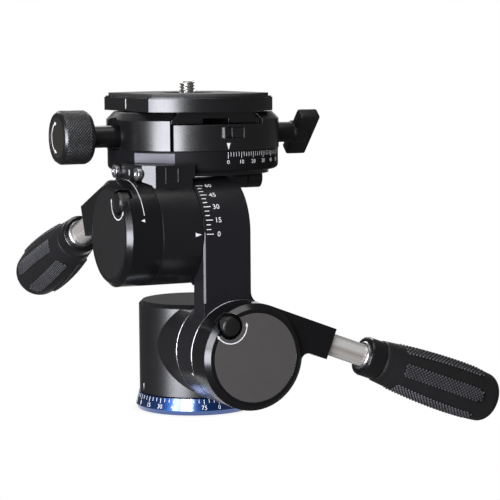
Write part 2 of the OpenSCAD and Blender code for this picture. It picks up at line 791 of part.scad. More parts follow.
module tilt_body() {
    color("dimgray") difference() {
        union() {
            at_upper_tilt(tilt_start) cylinder(r = tilt_r, h = tilt_w);
            translate([0, 0, upper_z]) linear_extrude(disc_z - upper_z)
                bracket_outline(tilt_start, upper_y + tilt_r);
            translate([0, 0, foot_z]) linear_extrude(foot_t) bracket_outline(bracket_right, bracket_rear_y);
            translate([0, 0, foot_z]) linear_extrude(lip_top - foot_z)
                bracket_outline(bracket_right, lip_back_y);
            translate([0, 0, foot_z]) cylinder(r = foot_disc_r, h = foot_t);
            translate([drag_lug_x, -drag_lug_w / 2, drag_z - drag_knob_r])
                cube([drag_x - drag_lug_x - run_gap, drag_lug_w, disc_z - drag_z + drag_knob_r]);
        }
        // the pan disc sits on the foot, inside the lip
        translate([0, 0, disc_z]) cylinder(r = disc_r + seat_gap, h = disc_h);
        // room for the lever hub in front of its axis, and for its lug behind it
        at_upper_tilt(tilt_end) cylinder(r = saddle_r, h = 2 * tilt_w);
        translate([-2 * bracket_left, upper_y, upper_z - tilt_r])
            cube([2 * bracket_left - tilt_end, 4 * tilt_r, 2 * tilt_r - 2]);
        at_upper_tilt(tilt_start - eps) cylinder(r = shaft_r + bore_gap, h = tilt_w + 2 * eps);
        bar_x(drag_stem_r + bore_gap, drag_lug_x - eps, drag_x, 0, drag_z);
        translate([drag_x - run_gap, -drag_knob_r - slide_gap, foot_z - eps])
            cube([foot_disc_r, 2 * (drag_knob_r + slide_gap), foot_t + 2 * eps]);
        bracket_screw_holes();
        disc_screw_places() disc_screw(seat_gap);
    }
}

module bracket_screw_places() {
    for (side = [-0.5, 0.5])
        translate([0, bracket_screw_mid + side * screw_pitch, bracket_screw_z]) children();
}

module bracket_screw_holes() {
    bracket_screw_places() bar_x(bracket_screw_r + seat_gap, -bracket_left - eps,
        -bracket_left + bracket_screw_l);
}

module bracket_screws() {
    color("gainsboro") bracket_screw_places() difference() {
        union() {
            bar_x(screw_head_r, -bracket_left - bracket_head_t, -bracket_left);
            bar_x(bracket_screw_r, -bracket_left, -bracket_left + bracket_screw_l);
        }
        translate([-bracket_left - bracket_head_t - eps, 0, 0]) rotate([0, 90, 0])
            cylinder(r = 1.4, h = 1.2 + eps, $fn = 6);
    }
}

module disc_screw_places() {
    for (turn = [45:90:315]) rotate([0, 0, turn]) translate([disc_screw_ring, 0, foot_z]) children();
}

module disc_screw(grow) {
    drop = disc_screw_head_r - disc_screw_r;
    cylinder(r1 = disc_screw_head_r + grow, r2 = disc_screw_r + grow, h = drop);
    cylinder(r = disc_screw_r + grow, h = disc_screw_l + grow);
}

module disc_screws() {
    color("silver") disc_screw_places() disc_screw(0);
}

module rim_plate_place() {
    rotate([0, 0, -rim_plate_turn]) translate([0, -rim_flat, rim_plate_z]) children();
}

module pan_disc() {
    color("dimgray") difference() {
        rotate_extrude() union() {
            translate([0, disc_z]) square([disc_r - disc_round, disc_h]);
            translate([0, disc_z + disc_round]) square([disc_r, disc_h - disc_round]);
            translate([disc_r - disc_round, disc_z + disc_round]) circle(r = disc_round);
        }
        translate([0, 0, disc_z - eps]) cylinder(r = top_spindle_r + seat_gap, h = disc_h + 2 * eps);
        translate([0, 0, disc_z - eps]) cylinder(r = spindle_foot_r + seat_gap, h = spindle_foot_t + eps);
        disc_screw_places() disc_screw(seat_gap);
        bracket_screw_holes();
        rim_plate_place() translate([-rim_plate_w / 2 - seat_gap, -2 * rim_plate_t, -seat_gap])
            cube([rim_plate_w + 2 * seat_gap, 3 * rim_plate_t, rim_plate_h + 2 * seat_gap]);
    }
}

module rim_plate() {
    color("lightgray") rim_plate_place() translate([-rim_plate_w / 2, 0, 0])
        cube([rim_plate_w, rim_plate_t - seat_gap, rim_plate_h]);
}

module top_spindle() {
    color("silver") translate([0, 0, disc_z]) {
        cylinder(r = top_spindle_r, h = retainer_z + retainer_t - disc_z);
        cylinder(r = spindle_foot_r, h = spindle_foot_t);
    }
}

module top_retainer() {
    color("silver") translate([0, 0, retainer_z]) ring(retainer_r, top_spindle_r + seat_gap, retainer_t);
}

module drag_knob() {
    color("dimgray") difference() {
        union() {
            bar_x(drag_knob_r, drag_x, drag_x + drag_knob_l, 0, drag_z);
            bar_x(drag_stem_r, drag_lug_x, drag_x, 0, drag_z);
        }
        translate([drag_x + 0.42 * drag_knob_l, 0, drag_z]) rotate([0, 90, 0])
            ring(drag_knob_r + eps, drag_knob_r - 0.35, 1);
    }
}

// Clamp

module clamp_blank() {
    translate([0, 0, clamp_z]) cylinder(r = clamp_r, h = jaw_top - jaw_bevel - clamp_z);
    translate([0, 0, jaw_top - jaw_bevel]) cylinder(r1 = clamp_r, r2 = clamp_r - jaw_bevel, h = jaw_bevel);
}

// Outline of a jaw across the groove, from its upright inner face outwards and from from_z up
module jaw_section(inner, from_z) {
    tip = inner - dovetail_drop;
    polygon([[inner, from_z], [2 * clamp_r, from_z], [2 * clamp_r, jaw_top], [tip, jaw_top],
        [tip, slant_z + dovetail_drop], [inner, slant_z]]);
}

module across_groove() {
    translate([0, 1.5 * clamp_r, 0]) rotate([90, 0, 0]) linear_extrude(3 * clamp_r) children();
}

module guide_pin_places() {
    for (side = [-1, 1]) translate([0, side * guide_pin_y, knob_z]) children();
}

module clamp_body() {
    color("dimgray") difference() {
        union() {
            intersection() {
                translate([0, 0, clamp_z]) cylinder(r = clamp_r, h = clamp_h);
                translate([-body_left, -clamp_r, clamp_z]) cube([body_left + clamp_r, 2 * clamp_r, clamp_h]);
            }
            intersection() {
                clamp_blank();
                across_groove() jaw_section(groove_right, groove_z - eps);
            }
        }
        translate([0, 0, clamp_z - eps]) cylinder(r = top_spindle_r + bore_gap, h = clamp_h + 2 * eps);
        translate([0, 0, web_top]) cylinder(r = retainer_r + 0.3, h = clamp_h);
        bar_x(clamp_screw_r + bore_gap, -body_left - eps, -top_spindle_r, 0, knob_z);
        bar_x(wing_screw_r + bore_gap, top_spindle_r - 1, clamp_r + eps, 0, knob_z);
        bar_x(wing_neck_r + 0.3, wing_seat, clamp_r + eps, 0, knob_z);
        guide_pin_places() bar_x(guide_pin_r + seat_gap, -body_left - eps, -body_left + guide_pin_in);
        guide_pin_places() bar_x(spring_r + bore_gap, -body_left - eps, -body_left + spring_depth);
        catch_place() translate([-catch_w / 2, -eps - clamp_r, 0])
            cube([catch_w, clamp_r + eps + catch_depth, catch_h]);
    }
}

module jaw_guide_pins() {
    color("silver") guide_pin_places()
        bar_x(guide_pin_r, -body_left + guide_pin_in - guide_pin_l, -body_left + guide_pin_in);
}

module jaw_springs() {
    color("silver") guide_pin_places() rotate([0, 90, 0])
        translate([0, 0, -jaw_right - spring_depth])
            ring(spring_r, guide_pin_r + 0.3, jaw_gap + 2 * spring_depth);
}

module catch_place() {
    translate([catch_x, -catch_y, catch_z]) children();
}

// A small catch in a window at the front of the clamp, with a bright pin beside it
module safety_catch() {
    color("dimgray") catch_place() translate([catch_w / 2 - catch_block_w - slide_gap, slide_gap, slide_gap])
        cube([catch_block_w, catch_depth - 2 * slide_gap, catch_h - 2 * slide_gap]);
}

module catch_pin() {
    color("gainsboro") catch_place()
        translate([-catch_w / 2 + catch_pin_r + 0.2, catch_depth / 2, seat_gap])
            cylinder(r = catch_pin_r, h = catch_h - 2 * seat_gap);
}

module wing_lever() {
    tip = wing_start + wing_l;
    color("dimgray") translate([0, 0, knob_z]) difference() {
        union() {
            bar_x(wing_neck_r, wing_seat + run_gap, wing_start + 1);
            bar_x(wing_neck_r + 0.6, wing_start, wing_start + 0.62 * wing_l);
            rotate([wing_turn, 0, 0]) translate([0, wing_t / 2, 0]) rotate([90, 0, 0]) linear_extrude(wing_t)
                for (side = [0, 1]) mirror([0, side])
                    polygon([[wing_start, 0], [wing_start + 0.2, 0.4 * wing_half],
                        [wing_start + 0.18 * wing_l, wing_half], [tip, wing_half - 0.6],
                        [tip - 0.12 * wing_l, 0.42 * wing_half], [wing_start + 0.62 * wing_l, 0]]);
        }
        bar_x(wing_screw_r + seat_gap, wing_seat, wing_start + wing_screw_in);
    }
}

module wing_screw() {
    tip = top_spindle_r + run_gap;
    color("silver") bar_x(wing_screw_r, tip, wing_start + wing_screw_in, 0, knob_z);
}

module clamp_jaw() {
    color("dimgray") difference() {
        intersection() {
            clamp_blank();
            mirror([1, 0, 0]) across_groove() jaw_section(jaw_right, clamp_z - eps);
        }
        bar_x(clamp_screw_r + bore_gap, -clamp_r - eps, -jaw_right + eps, 0, knob_z);
        translate([-clamp_neck_x, 0, knob_z]) rotate([0, -90, 0])
            cylinder(r1 = scoop_inner_r, r2 = scoop_r + 1, h = clamp_r - clamp_neck_x + 1);
        guide_pin_places() bar_x(guide_pin_r + bore_gap, -body_left + guide_pin_in - guide_pin_l - 1,
            -jaw_right + eps);
        guide_pin_places() bar_x(spring_r + bore_gap, -jaw_right - spring_depth, -jaw_right + eps);
    }
}

module clamp_knob() {
    front = knob_end - clamp_neck_x - run_gap;
    back = knob_start - clamp_neck_x - run_gap;
    color("dimgray") translate([-clamp_neck_x - run_gap, 0, knob_z]) rotate([0, -90, 0]) difference() {
        rotate_extrude() polygon([[0, 0], [knob_neck_r, 0], [knob_neck_r, back - 0.6],
            [knob_neck_r + 1, back], [knob_r - 1.4, back + 0.4], [knob_r, back + 1.8],
            [knob_r, front - 2.2], [knob_r - 0.4, front - 1.8], [knob_r - 0.4, front - 0.8],
            [knob_r - 1.2, front], [0, front]]);
        translate([0, 0, front - label_t]) cylinder(r = label_r + seat_gap, h = label_t + eps);
        translate([0, 0, -eps]) cylinder(r = clamp_screw_r + seat_gap, h = front - 3);
    }
}

module clamp_screw() {
    color("silver") bar_x(clamp_screw_r, -knob_end + clamp_screw_in, -clamp_screw_tip, 0, knob_z);
}

module knob_label() {
    color("darkgray") translate([-knob_end + label_t, 0, knob_z]) rotate([0, -90, 0])
        cylinder(r = label_r, h = label_t - 0.1);
}

// Camera plate

module plate_outline(inset) {
    intersection() {
        circle(r = plate_r - inset);
        square([2 * (plate_half_w - inset), 2 * plate_r], center = true);
    }
}

module at_plate(z = 0) {
    translate([-dovetail_shift, 0, z]) children();
}

module camera_plate() {
    color("dimgray") at_plate() difference() {
        union() {
            translate([0, 0, plate_z]) linear_extrude(plate_t - plate_edge) plate_outline(0);
            translate([0, 0, plate_z]) linear_extrude(plate_t) plate_outline(plate_edge);
            translate([0, plate_foot_half, 0]) rotate([90, 0, 0]) linear_extrude(2 * plate_foot_half)
                polygon([[-foot_half, foot_bottom], [foot_half, foot_bottom], [foot_half, foot_slant_z],
                    [neck_half, foot_slant_z + dovetail_drop], [neck_half, plate_z + eps],
                    [-neck_half, plate_z + eps], [-neck_half, foot_slant_z + dovetail_drop],
                    [-foot_half, foot_slant_z]]);
        }
        translate([-slot_w / 2, -plate_r, foot_bottom - eps]) cube([slot_w, 2 * plate_r, slot_h + eps]);
        translate([0, 0, foot_bottom - eps])
            cylinder(r = camera_head_r + slide_gap,
                h = screw_head_z + screw_head_t + run_gap - foot_bottom + eps);
        cylinder(r = camera_neck_r + bore_gap, h = screw_top);
    }
}

module plate_pad() {
    color("dimgray") at_plate(plate_top) linear_extrude(pad_t) difference() {
        plate_outline(pad_margin);
        circle(r = pad_hole_r);
    }
}

// The thinner neck keeps the screw captive in the plate
module camera_screw() {
    tip = 0.6;
    color("silver") at_plate() {
        translate([0, 0, screw_head_z]) cylinder(r = camera_head_r, h = screw_head_t);
        translate([0, 0, screw_head_z]) cylinder(r = camera_neck_r, h = screw_top - tip - screw_head_z);
        translate([0, 0, thread_z]) cylinder(r = camera_screw_r, h = screw_top - tip - thread_z);
        translate([0, 0, screw_top - tip]) cylinder(r1 = camera_screw_r, r2 = camera_screw_r - tip, h = tip);
    }
}

base_ring();
pan_spindle();
thread_insert();
pan_washer();
pan_nut();
pillar();
pillar_cap();
lower_tilt_shaft();
pan_lock_knob();
pan_lock_screw();
arm();
arm_end_cap();
lower_friction_washer();
upper_tilt_shaft();
upper_friction_washer();
lower_lever_hub();
lower_face_plate();
lower_lock_nut();
lower_cone_washers();
lower_rod();
lower_ferrule();
lower_grip();
lower_grip_pads();
lower_pull_knob();
lower_pull_pin();
lower_pull_spring();
upper_lever_hub();
upper_face_plate();
upper_lock_nut();
upper_cone_washers();
upper_rod();
upper_ferrule();
upper_grip();
upper_grip_pads();
upper_pull_knob();
upper_pull_pin();
upper_pull_spring();
tilt_body();
bracket_screws();
pan_disc();
rim_plate();
disc_screws();
top_spindle();
top_retainer();
drag_knob();
clamp_body();
jaw_guide_pins();
jaw_springs();
safety_catch();
catch_pin();
wing_lever();
wing_screw();
clamp_jaw();
clamp_knob();
clamp_screw();
knob_label();
camera_plate();
plate_pad();
camera_screw();
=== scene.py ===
import bpy
from math import cos, pi, radians, sin, sqrt
from mathutils import Matrix, Vector


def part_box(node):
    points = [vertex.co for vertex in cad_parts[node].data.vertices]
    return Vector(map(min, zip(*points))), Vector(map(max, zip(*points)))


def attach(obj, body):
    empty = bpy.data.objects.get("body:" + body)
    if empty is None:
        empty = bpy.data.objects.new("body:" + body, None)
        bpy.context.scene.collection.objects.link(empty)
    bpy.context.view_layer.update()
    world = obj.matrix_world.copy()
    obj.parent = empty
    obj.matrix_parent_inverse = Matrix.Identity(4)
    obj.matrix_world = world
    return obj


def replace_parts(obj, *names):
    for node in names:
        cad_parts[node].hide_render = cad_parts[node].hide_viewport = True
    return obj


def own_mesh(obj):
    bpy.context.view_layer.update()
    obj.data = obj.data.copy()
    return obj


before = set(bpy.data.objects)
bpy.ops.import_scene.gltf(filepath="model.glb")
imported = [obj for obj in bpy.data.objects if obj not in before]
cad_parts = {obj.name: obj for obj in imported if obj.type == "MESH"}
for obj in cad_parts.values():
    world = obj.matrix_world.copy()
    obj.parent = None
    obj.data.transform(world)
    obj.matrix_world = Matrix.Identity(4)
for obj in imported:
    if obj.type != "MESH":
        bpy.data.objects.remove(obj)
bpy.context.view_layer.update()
MM = 0.001


# Base ring: turned from aluminium, bright, and anodised a deep glossy blue.
# It is screwed down on the tripod and stays still while the pillar turns on it.

def shade(red, green, blue):
    """A colour read off a screen, 0 to 255, as the linear values that a shader takes."""
    parts = (red, green, blue)
    return (*(((c / 255 + 0.055) / 1.055) ** 2.4 if c > 10 else c / 3294.6 for c in parts), 1.0)


class Value:
    """A number on its way through a shader: a sum written with it adds Math nodes."""

    def __init__(self, shader, socket):
        self.shader, self.socket = shader, socket

    def math(self, operation, *terms):
        return self.shader.node("Math", {"operation": operation}, dict(enumerate(terms)))

    def __add__(self, other):
        return self.math("ADD", self, other)

    def __sub__(self, other):
        return self.math("SUBTRACT", self, other)

    def __rsub__(self, other):
        return self.math("SUBTRACT", other, self)

    def __mul__(self, other):
        return self.math("MULTIPLY", self, other)

    def clamped(self):
        return self.shader.node("Clamp", {}, {"Value": self})

    def or_else(self, other):
        return self.math("MAXIMUM", self, other)

    __radd__ = __add__
    __rmul__ = __mul__


class Shader:
    """A node tree: one call adds a node with its settings and inputs and gives back what it puts out."""

    def __init__(self, tree):
        self.tree = tree

    def plug(self, socket, value):
        if isinstance(value, Value):
            self.tree.links.new(value.socket, socket)
        else:
            socket.default_value = value

    def node(self, kind, settings={}, inputs={}, output=0):
        made = self.tree.nodes.new("ShaderNode" + kind)
        for name, value in settings.items():
            setattr(made, name, value)
        for name, value in inputs.items():
            self.plug(made.inputs[name], value)
        return Value(self, made.outputs[output])

    def rays(self, *kinds):
        """Whether the light that reaches a point came along each of these kinds of ray."""
        return [self.node("LightPath", output=f"Is {kind} Ray") for kind in kinds]

    def vector(self, operation, first, second, output=0):
        return self.node("VectorMath", {"operation": operation}, {0: first, 1: second}, output)


class Finish(Shader):
    """One surface finish: a Principled material, its steady values set first and its nodes added after."""

    def __init__(self, name, steady):
        self.material = bpy.data.materials.new(name)
        self.material.use_nodes = True
        super().__init__(self.material.node_tree)
        self.surface = self.tree.nodes["Principled BSDF"]
        for socket, value in steady.items():
            self.surface.inputs[socket].default_value = value
        self.place = self.node("TexCoord", output="Object")

    def varies(self, socket, value):
        self.plug(self.surface.inputs[socket], value)

    def mix(self, share, first, second):
        return self.node("Mix", {"data_type": "RGBA"}, {0: share, 6: first, 7: second}, 2)

    def noise(self, size, detail=2.0, stretch=(1, 1, 1)):
        place = self.vector("MULTIPLY", self.place, stretch)
        return self.node("TexNoise", {}, {"Vector": place, "Scale": 1 / size, "Detail": detail})

    def lathe_lines(self, axis, centre, spacing):
        """Tool lines round an axis: noise of how far a point lies along it and away from it."""
        place = self.vector("SUBTRACT", self.place, centre)
        along = self.vector("DOT_PRODUCT", place, axis, "Value")
        across = self.vector("MULTIPLY", place, [1 - abs(part) for part in axis])
        away = self.vector("LENGTH", across, (0, 0, 0), "Value")
        line = self.node("CombineXYZ", {}, {"X": along, "Y": away})
        return self.node("TexNoise", {}, {"Vector": line, "Scale": 1 / spacing, "Detail": 1.0})

    def drawn_lines(self, axis, centre, spacing):
        """Lines along an axis: noise of where a point lies across it."""
        place = self.vector("SUBTRACT", self.place, centre)
        along = self.vector("DOT_PRODUCT", place, axis, "Value")
        across = self.vector("SUBTRACT", place, self.vector("MULTIPLY", axis, along))
        return self.node("TexNoise", {}, {"Vector": across, "Scale": 1 / spacing, "Detail": 1.0})

    def soft_edges(self, radius):
        """The normal of an edge rounded by radius, and how far a point lies in such an edge."""
        rounded = self.node("Bevel", {"samples": 6}, {"Radius": radius})
        straight = self.node("NewGeometry", output="Normal")
        turned = 1 - self.vector("DOT_PRODUCT", rounded, straight, "Value")
        return rounded, (turned * 5 - 0.1).clamped()

    def relief(self, height, depth, normal):
        """A bump of that depth over the given normal."""
        self.varies("Normal", self.node("Bump", {}, {
            "Strength": 1.0, "Distance": depth, "Height": height, "Normal": normal}))

    def cover(self, *names):
        for name in names:
            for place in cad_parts[name].material_slots:
                place.material = self.material

    def paint(self, piece):
        piece.data.materials.clear()
        piece.data.materials.append(self.material)


Z_AXIS, ON_AXIS = (0, 0, 1), (0, 0, 0)


def anodised(name, dye, worn, roughness, axis=Z_AXIS, centre=ON_AXIS, lines=0.5, rounding=0.4 * MM,
             steady={}):
    """Dyed aluminium: a fine blasted grain, faint tool lines round its axis, and paler rubbed edges."""
    finish = Finish(name, {"Specular IOR Level": 0.95, **steady})
    cloud = finish.noise(7 * MM, 3.0)
    grain = finish.noise(0.22 * MM)
    tool = finish.lathe_lines(axis, centre, 0.3 * MM)
    rounded, edge = finish.soft_edges(rounding)
    rubbed = (edge * (finish.noise(1.6 * MM, 4.0) * 2 - 0.6)).clamped()
    dark = tuple(0.75 * part for part in dye[:3]) + (1.0,)
    finish.varies("Base Color", finish.mix(rubbed * 0.3, finish.mix(cloud, dark, dye), worn))
    finish.varies("Roughness", (cloud - 0.5) * 0.08 + (tool - 0.5) * 0.12 * lines + roughness)
    finish.relief(grain * (1 - lines) + tool * lines, 0.006 * MM, rounded)
    return finish


blue_anodised = anodised("blue anodised", shade(24, 78, 150), shade(120, 150, 210), 0.36, steady={
    "Metallic": 0.9, "Coat Weight": 1.0, "Coat Roughness": 0.15, "Coat IOR": 1.85})
blue_anodised.cover("base_ring")


# Base scale: degrees printed in white ink on the sloping rim of the base ring, 0 to 75 four times round.
# It is laid out flat as the printer has it and then wrapped on the cone.
# The ink is a few hundredths of a millimetre thick and does not wear evenly.

INK, DIGIT_SHARE = 0.04 * MM, 0.72
white_ink = Finish("white ink", {"Specular IOR Level": 0.3})
patchy = white_ink.noise(0.5 * MM, 3.0)
white_ink.varies("Base Color", white_ink.mix(patchy, shade(196, 196, 198), shade(238, 238, 240)))
white_ink.varies("Roughness", patchy * 0.2 + 0.5)
white_ink.relief(patchy, 0.01 * MM, white_ink.node("NewGeometry", output="Normal"))


def flat_bar(width, height, cuts=0):
    """A thin bar of ink lying flat: its top edge on the X axis, with cuts that let it bend along it."""
    bpy.ops.mesh.primitive_cube_add(size=1, location=(0, -height / 2, INK / 2), scale=(width, height, INK))
    bpy.ops.object.transform_apply()
    bar = bpy.context.object
    if cuts:
        bpy.ops.object.mode_set(mode="EDIT")
        bpy.ops.mesh.subdivide(number_cuts=cuts)
        bpy.ops.object.mode_set(mode="OBJECT")
    return bar


def numeral(number, height):
    """A number set flat, centred on the Y axis and standing on the X axis."""
    bpy.ops.object.text_add()
    figure = bpy.context.object
    figure.data.body = str(number)
    figure.data.align_x = "CENTER"
    figure.data.size = height / DIGIT_SHARE
    figure.data.extrude = INK / 2
    figure.data.resolution_u = 3
    bpy.ops.object.convert(target="MESH")
    figure.data.transform(Matrix.Translation((0, 0, INK / 2)))
    return figure


def copied(piece, move):
    """A copy of a piece with its own mesh, moved by a matrix."""
    twin = piece.copy()
    twin.data = piece.data.copy()
    twin.data.transform(move)
    bpy.context.scene.collection.objects.link(twin)
    return twin


def joined(name, pieces):
    """Several pieces made into one, with the first piece's materials."""
    bpy.ops.object.select_all(action="DESELECT")
    for piece in pieces:
        piece.select_set(True)
    bpy.context.view_layer.objects.active = pieces[0]
    if len(pieces) > 1:
        bpy.ops.object.join()
    pieces[0].name = pieces[0].data.name = name
    return pieces[0]


def wrapped(piece, onto):
    """A flat piece laid on a surface: along, up and out become the place that onto gives."""
    for corner in piece.data.vertices:
        corner.co = onto(*corner.co)
    piece.data.update()
    return piece


def printed(name, pieces, onto, body):
    """A print: its flat pieces joined, wrapped, inked and carried by a body."""
    mark = wrapped(joined(name, pieces), onto)
    white_ink.paint(mark)
    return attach(mark, body)


def scale_marks(radius, degrees, step, long_step, short, long, width, number_gap, number_h, number_at):
    """A flat degree scale along X: short ticks, and longer, stronger ones with numbers below them."""
    marks = []
    short_tick, long_tick = flat_bar(width, short), flat_bar(1.17 * width, long)
    for angle in range(*degrees, step):
        x = radius * radians(angle)
        tick = short_tick if angle % long_step else long_tick
        marks.append(copied(tick, Matrix.Translation((x, 0, 0))))
        if angle % long_step == 0:
            figure = numeral(number_at(angle), number_h)
            figure.data.transform(Matrix.Translation((x, -long - number_gap - number_h, 0)))
            marks.append(figure)
    for tick in (short_tick, long_tick):
        bpy.data.objects.remove(tick)
    return marks


ring_wide, ring_wide_z, ring_top, ring_top_z = 24.6 * MM, 1.81 * MM, 23.4 * MM, 6.7 * MM
ring_mid = (ring_wide + ring_top) / 2


def onto_base_ring(along, up, out):
    z = ring_top_z - 0.25 * MM + up
    radius = ring_top + (ring_top_z - z) * (ring_wide - ring_top) / (ring_top_z - ring_wide_z) + out
    return Vector((radius * sin(along / ring_mid), -radius * cos(along / ring_mid), z))


base_marks = scale_marks(ring_mid, degrees=(-180, 180), step=5, long_step=15, short=1.5 * MM, long=2 * MM,
                         width=0.24 * MM, number_gap=0.35 * MM, number_h=1.75 * MM,
                         number_at=lambda angle: angle % 90)
printed("base_scale", base_marks, onto_base_ring, "base")


# Spindle and fastenings in the base: a steel spindle with a brass 3/8 inch insert, a slippery plastic
# washer and a nut. They are turned parts, hidden unless the head is seen from below.

def bare_metal(name, colour, dull, roughness, axis=Z_AXIS, centre=ON_AXIS, rounding=0.2 * MM, metallic=1.0):
    """Bare turned metal: bright, with fine lines round its axis and faint stains."""
    finish = Finish(name, {"Metallic": metallic})
    stain = finish.noise(5 * MM, 4.0)
    tool = finish.lathe_lines(axis, centre, 0.22 * MM)
    rounded, edge = finish.soft_edges(rounding)
    finish.varies("Base Color", finish.mix(stain, dull, colour))
    finish.varies("Roughness", (stain - 0.5) * 0.12 + (tool - 0.5) * 0.1 + roughness - edge * 0.05)
    finish.relief(tool, 0.004 * MM, rounded)
    return finish


steel = bare_metal("plain steel", shade(188, 188, 190), shade(160, 160, 163), 0.3)
steel.cover("pan_spindle", "pan_nut")
insert_brass = bare_metal("insert brass", shade(206, 172, 98), shade(170, 136, 72), 0.32)
insert_brass.cover("thread_insert")


def moulded(name, colour, pale, roughness, grain_size, specular=0.5):
    """Moulded plastic or rubber: a spark-eroded grain, and a paler bloom on the edges."""
    finish = Finish(name, {"Specular IOR Level": specular})
    bloom = finish.noise(6 * MM, 3.0)
    grain = finish.noise(grain_size, 3.0)
    rounded, edge = finish.soft_edges(0.3 * MM)
    finish.varies("Base Color", finish.mix(((bloom - 0.45) * 0.8 + edge * 0.3).clamped(), colour, pale))
    finish.varies("Roughness", (grain - 0.5) * 0.2 + roughness)
    finish.relief(grain, 0.02 * MM, rounded)
    return finish


bearing_plastic = moulded("bearing plastic", shade(214, 208, 190), shade(228, 224, 212), 0.45, 0.3 * MM)
bearing_plastic.cover("pan_washer", "lower_friction_washer", "upper_friction_washer")


# Pillar and its lid: the round turning body, machined from bar and anodised black with a silky sheen.
# The lid is chamfered, blasted duller than the body and pressed in.
# A white index low on the left of the pillar reads against the base scale.

black_pillar = anodised("black anodised, pillar", shade(15, 15, 17), shade(92, 92, 98), 0.38, lines=0.1)
black_pillar.cover("pillar")
black_lid = anodised("black anodised, lid", shade(15, 15, 17), shade(92, 92, 98), 0.75, lines=0.1,
                     steady={"Specular IOR Level": 0.3})
black_lid.cover("pillar_cap")
pillar_r = 22.9 * MM


def onto_pillar(along, up, out):
    radius = pillar_r + out
    return Vector((radius * sin(along / pillar_r), -radius * cos(along / pillar_r), up))


def flat_triangle(width, height):
    """A thin triangle of ink lying flat, its base on the X axis and its point below."""
    wedge = flat_bar(width, height)
    for corner in wedge.data.vertices:
        if corner.co.y < -height / 2:
            corner.co.x *= 0.06
    return wedge


index = flat_triangle(0.75 * MM, 2.6 * MM)
index.data.transform(Matrix.Translation((-pillar_r * radians(90), 11 * MM, 0)))
printed("pillar_index", [index], onto_pillar, "pillar")


# Base pan lock: a small black thumb knob on a steel screw at the back of the pillar.
# It is turned, anodised and gripped by its knurl.

lock_low, lock_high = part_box("pan_lock_knob")
knurled_back = anodised("black anodised, fore and aft axis", shade(13, 13, 15), shade(88, 88, 92), 0.3,
                        (0, 1, 0), (0, 0, (lock_low.z + lock_high.z) / 2))
knurled_back.cover("pan_lock_knob")
steel.cover("pan_lock_screw")


# Steel inside the head: the shafts, nuts, spring washers, pins and screws of the tilts, the upper pan
# and the clamp. They are plain turned or ground steel, and hidden once the head is together.

steel.cover("lower_tilt_shaft", "upper_tilt_shaft", "top_spindle", "top_retainer", "disc_screws",
            "jaw_guide_pins", "jaw_springs", "wing_screw", "clamp_screw")
for side in ("lower", "upper"):
    steel.cover(*(f"{side}_{piece}" for piece in ("lock_nut", "cone_washers", "pull_pin")))


# Arm: the crank between the two tilts, milled from one billet, black anodised and lightly blasted.
# The left edge of its drum carries the tilt scale, read against a triangle on the tilt body.

upper_y, upper_z, tilt_r = -23.2 * MM, 75.25 * MM, 21 * MM
black_milled = anodised("black anodised, milled", shade(27, 27, 30), shade(100, 100, 106), 0.3,
                        (1, 0, 0), (0, upper_y, upper_z), lines=0.25, rounding=0.14 * MM,
                        steady={"Specular IOR Level": 0.4})
black_milled.cover("arm", "arm_end_cap")
drum_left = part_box("upper_friction_washer")[1].x + 0.3 * MM


def onto_tilt_drum(along, up, out):
    angle = up / tilt_r
    return Vector((along, upper_y - (tilt_r + out) * cos(angle), upper_z + (tilt_r + out) * sin(angle)))


sideways = Matrix.Rotation(radians(90), 4, "Z")
tick_w, short_tick, long_tick = 0.32 * MM, 1.9 * MM, 2.9 * MM
number_x, number_h = drum_left + 5.2 * MM, 2.1 * MM
drum_marks = []
for angle in range(-60, 61, 5):
    height = tilt_r * radians(angle)
    tick = flat_bar(tick_w, short_tick if angle % 15 else long_tick)
    tick.data.transform(Matrix.Translation((drum_left, height, 0)) @ sideways)
    drum_marks.append(tick)
    if angle % 15 == 0:
        figure = numeral(abs(angle), number_h)
        figure.data.transform(Matrix.Translation((number_x, height - number_h / 2, 0)))
        drum_marks.append(figure)
printed("tilt_scale", drum_marks, onto_tilt_drum, "arm")


# Lever hubs: round caps on both tilts, each with a lug for its handle, turned and milled, black anodised.
# A fine white arc with a pointer, printed on the upper one, shows which way the lever locks;
# beside the lower one a pointer alone is printed on the arm.

lower_z = 27.9 * MM
hub_finishes = {
    "lower": anodised("black anodised, lower lever", shade(13, 13, 15), shade(112, 112, 118), 0.2,
                      (0, 1, 0), (0, 0, lower_z), steady={"Specular IOR Level": 0.6}),
    "upper": anodised("black anodised, upper lever", shade(14, 14, 16), shade(112, 112, 118), 0.2,
                      (1, 0, 0), (0, upper_y, upper_z), steady={"Specular IOR Level": 0.6})}
for side, finish in hub_finishes.items():
    finish.cover(f"{side}_lever_hub")


def onto_lower_hub(along, up, out):
    angle = along / tilt_r
    return Vector(((tilt_r + out) * cos(angle), -up, lower_z + (tilt_r + out) * sin(angle)))


def lock_arc(from_angle, to_angle, at, pointer_angle):
    """A thin line round a hub and a small pointer past its end, laid out along X."""
    line = flat_bar(tilt_r * radians(to_angle - from_angle), 0.24 * MM, 40)
    line.data.transform(Matrix.Translation((tilt_r * radians(from_angle + to_angle) / 2, at, 0)))
    pointer = flat_triangle(1.3 * MM, 1.5 * MM)
    pointer.data.transform(Matrix.Translation((tilt_r * radians(pointer_angle), at - 0.2 * MM, 0)))
    return [line, pointer]


upper_arc = lock_arc(from_angle=-110, to_angle=-23, at=-38.9 * MM, pointer_angle=-17.6)
for mark in upper_arc:
    mark.data.transform(sideways.inverted())
printed("upper_lock_arc", upper_arc, onto_tilt_drum, "upper_lever")
lock_mark_at, lock_mark_y = tilt_r * radians(200), 43.4 * MM
lock_mark = flat_triangle(1.3 * MM, 1.5 * MM)
lock_mark.data.transform(Matrix.Translation((lock_mark_at, lock_mark_y, 0)))
printed("lower_lock_mark", [lock_mark], onto_lower_hub, "arm")


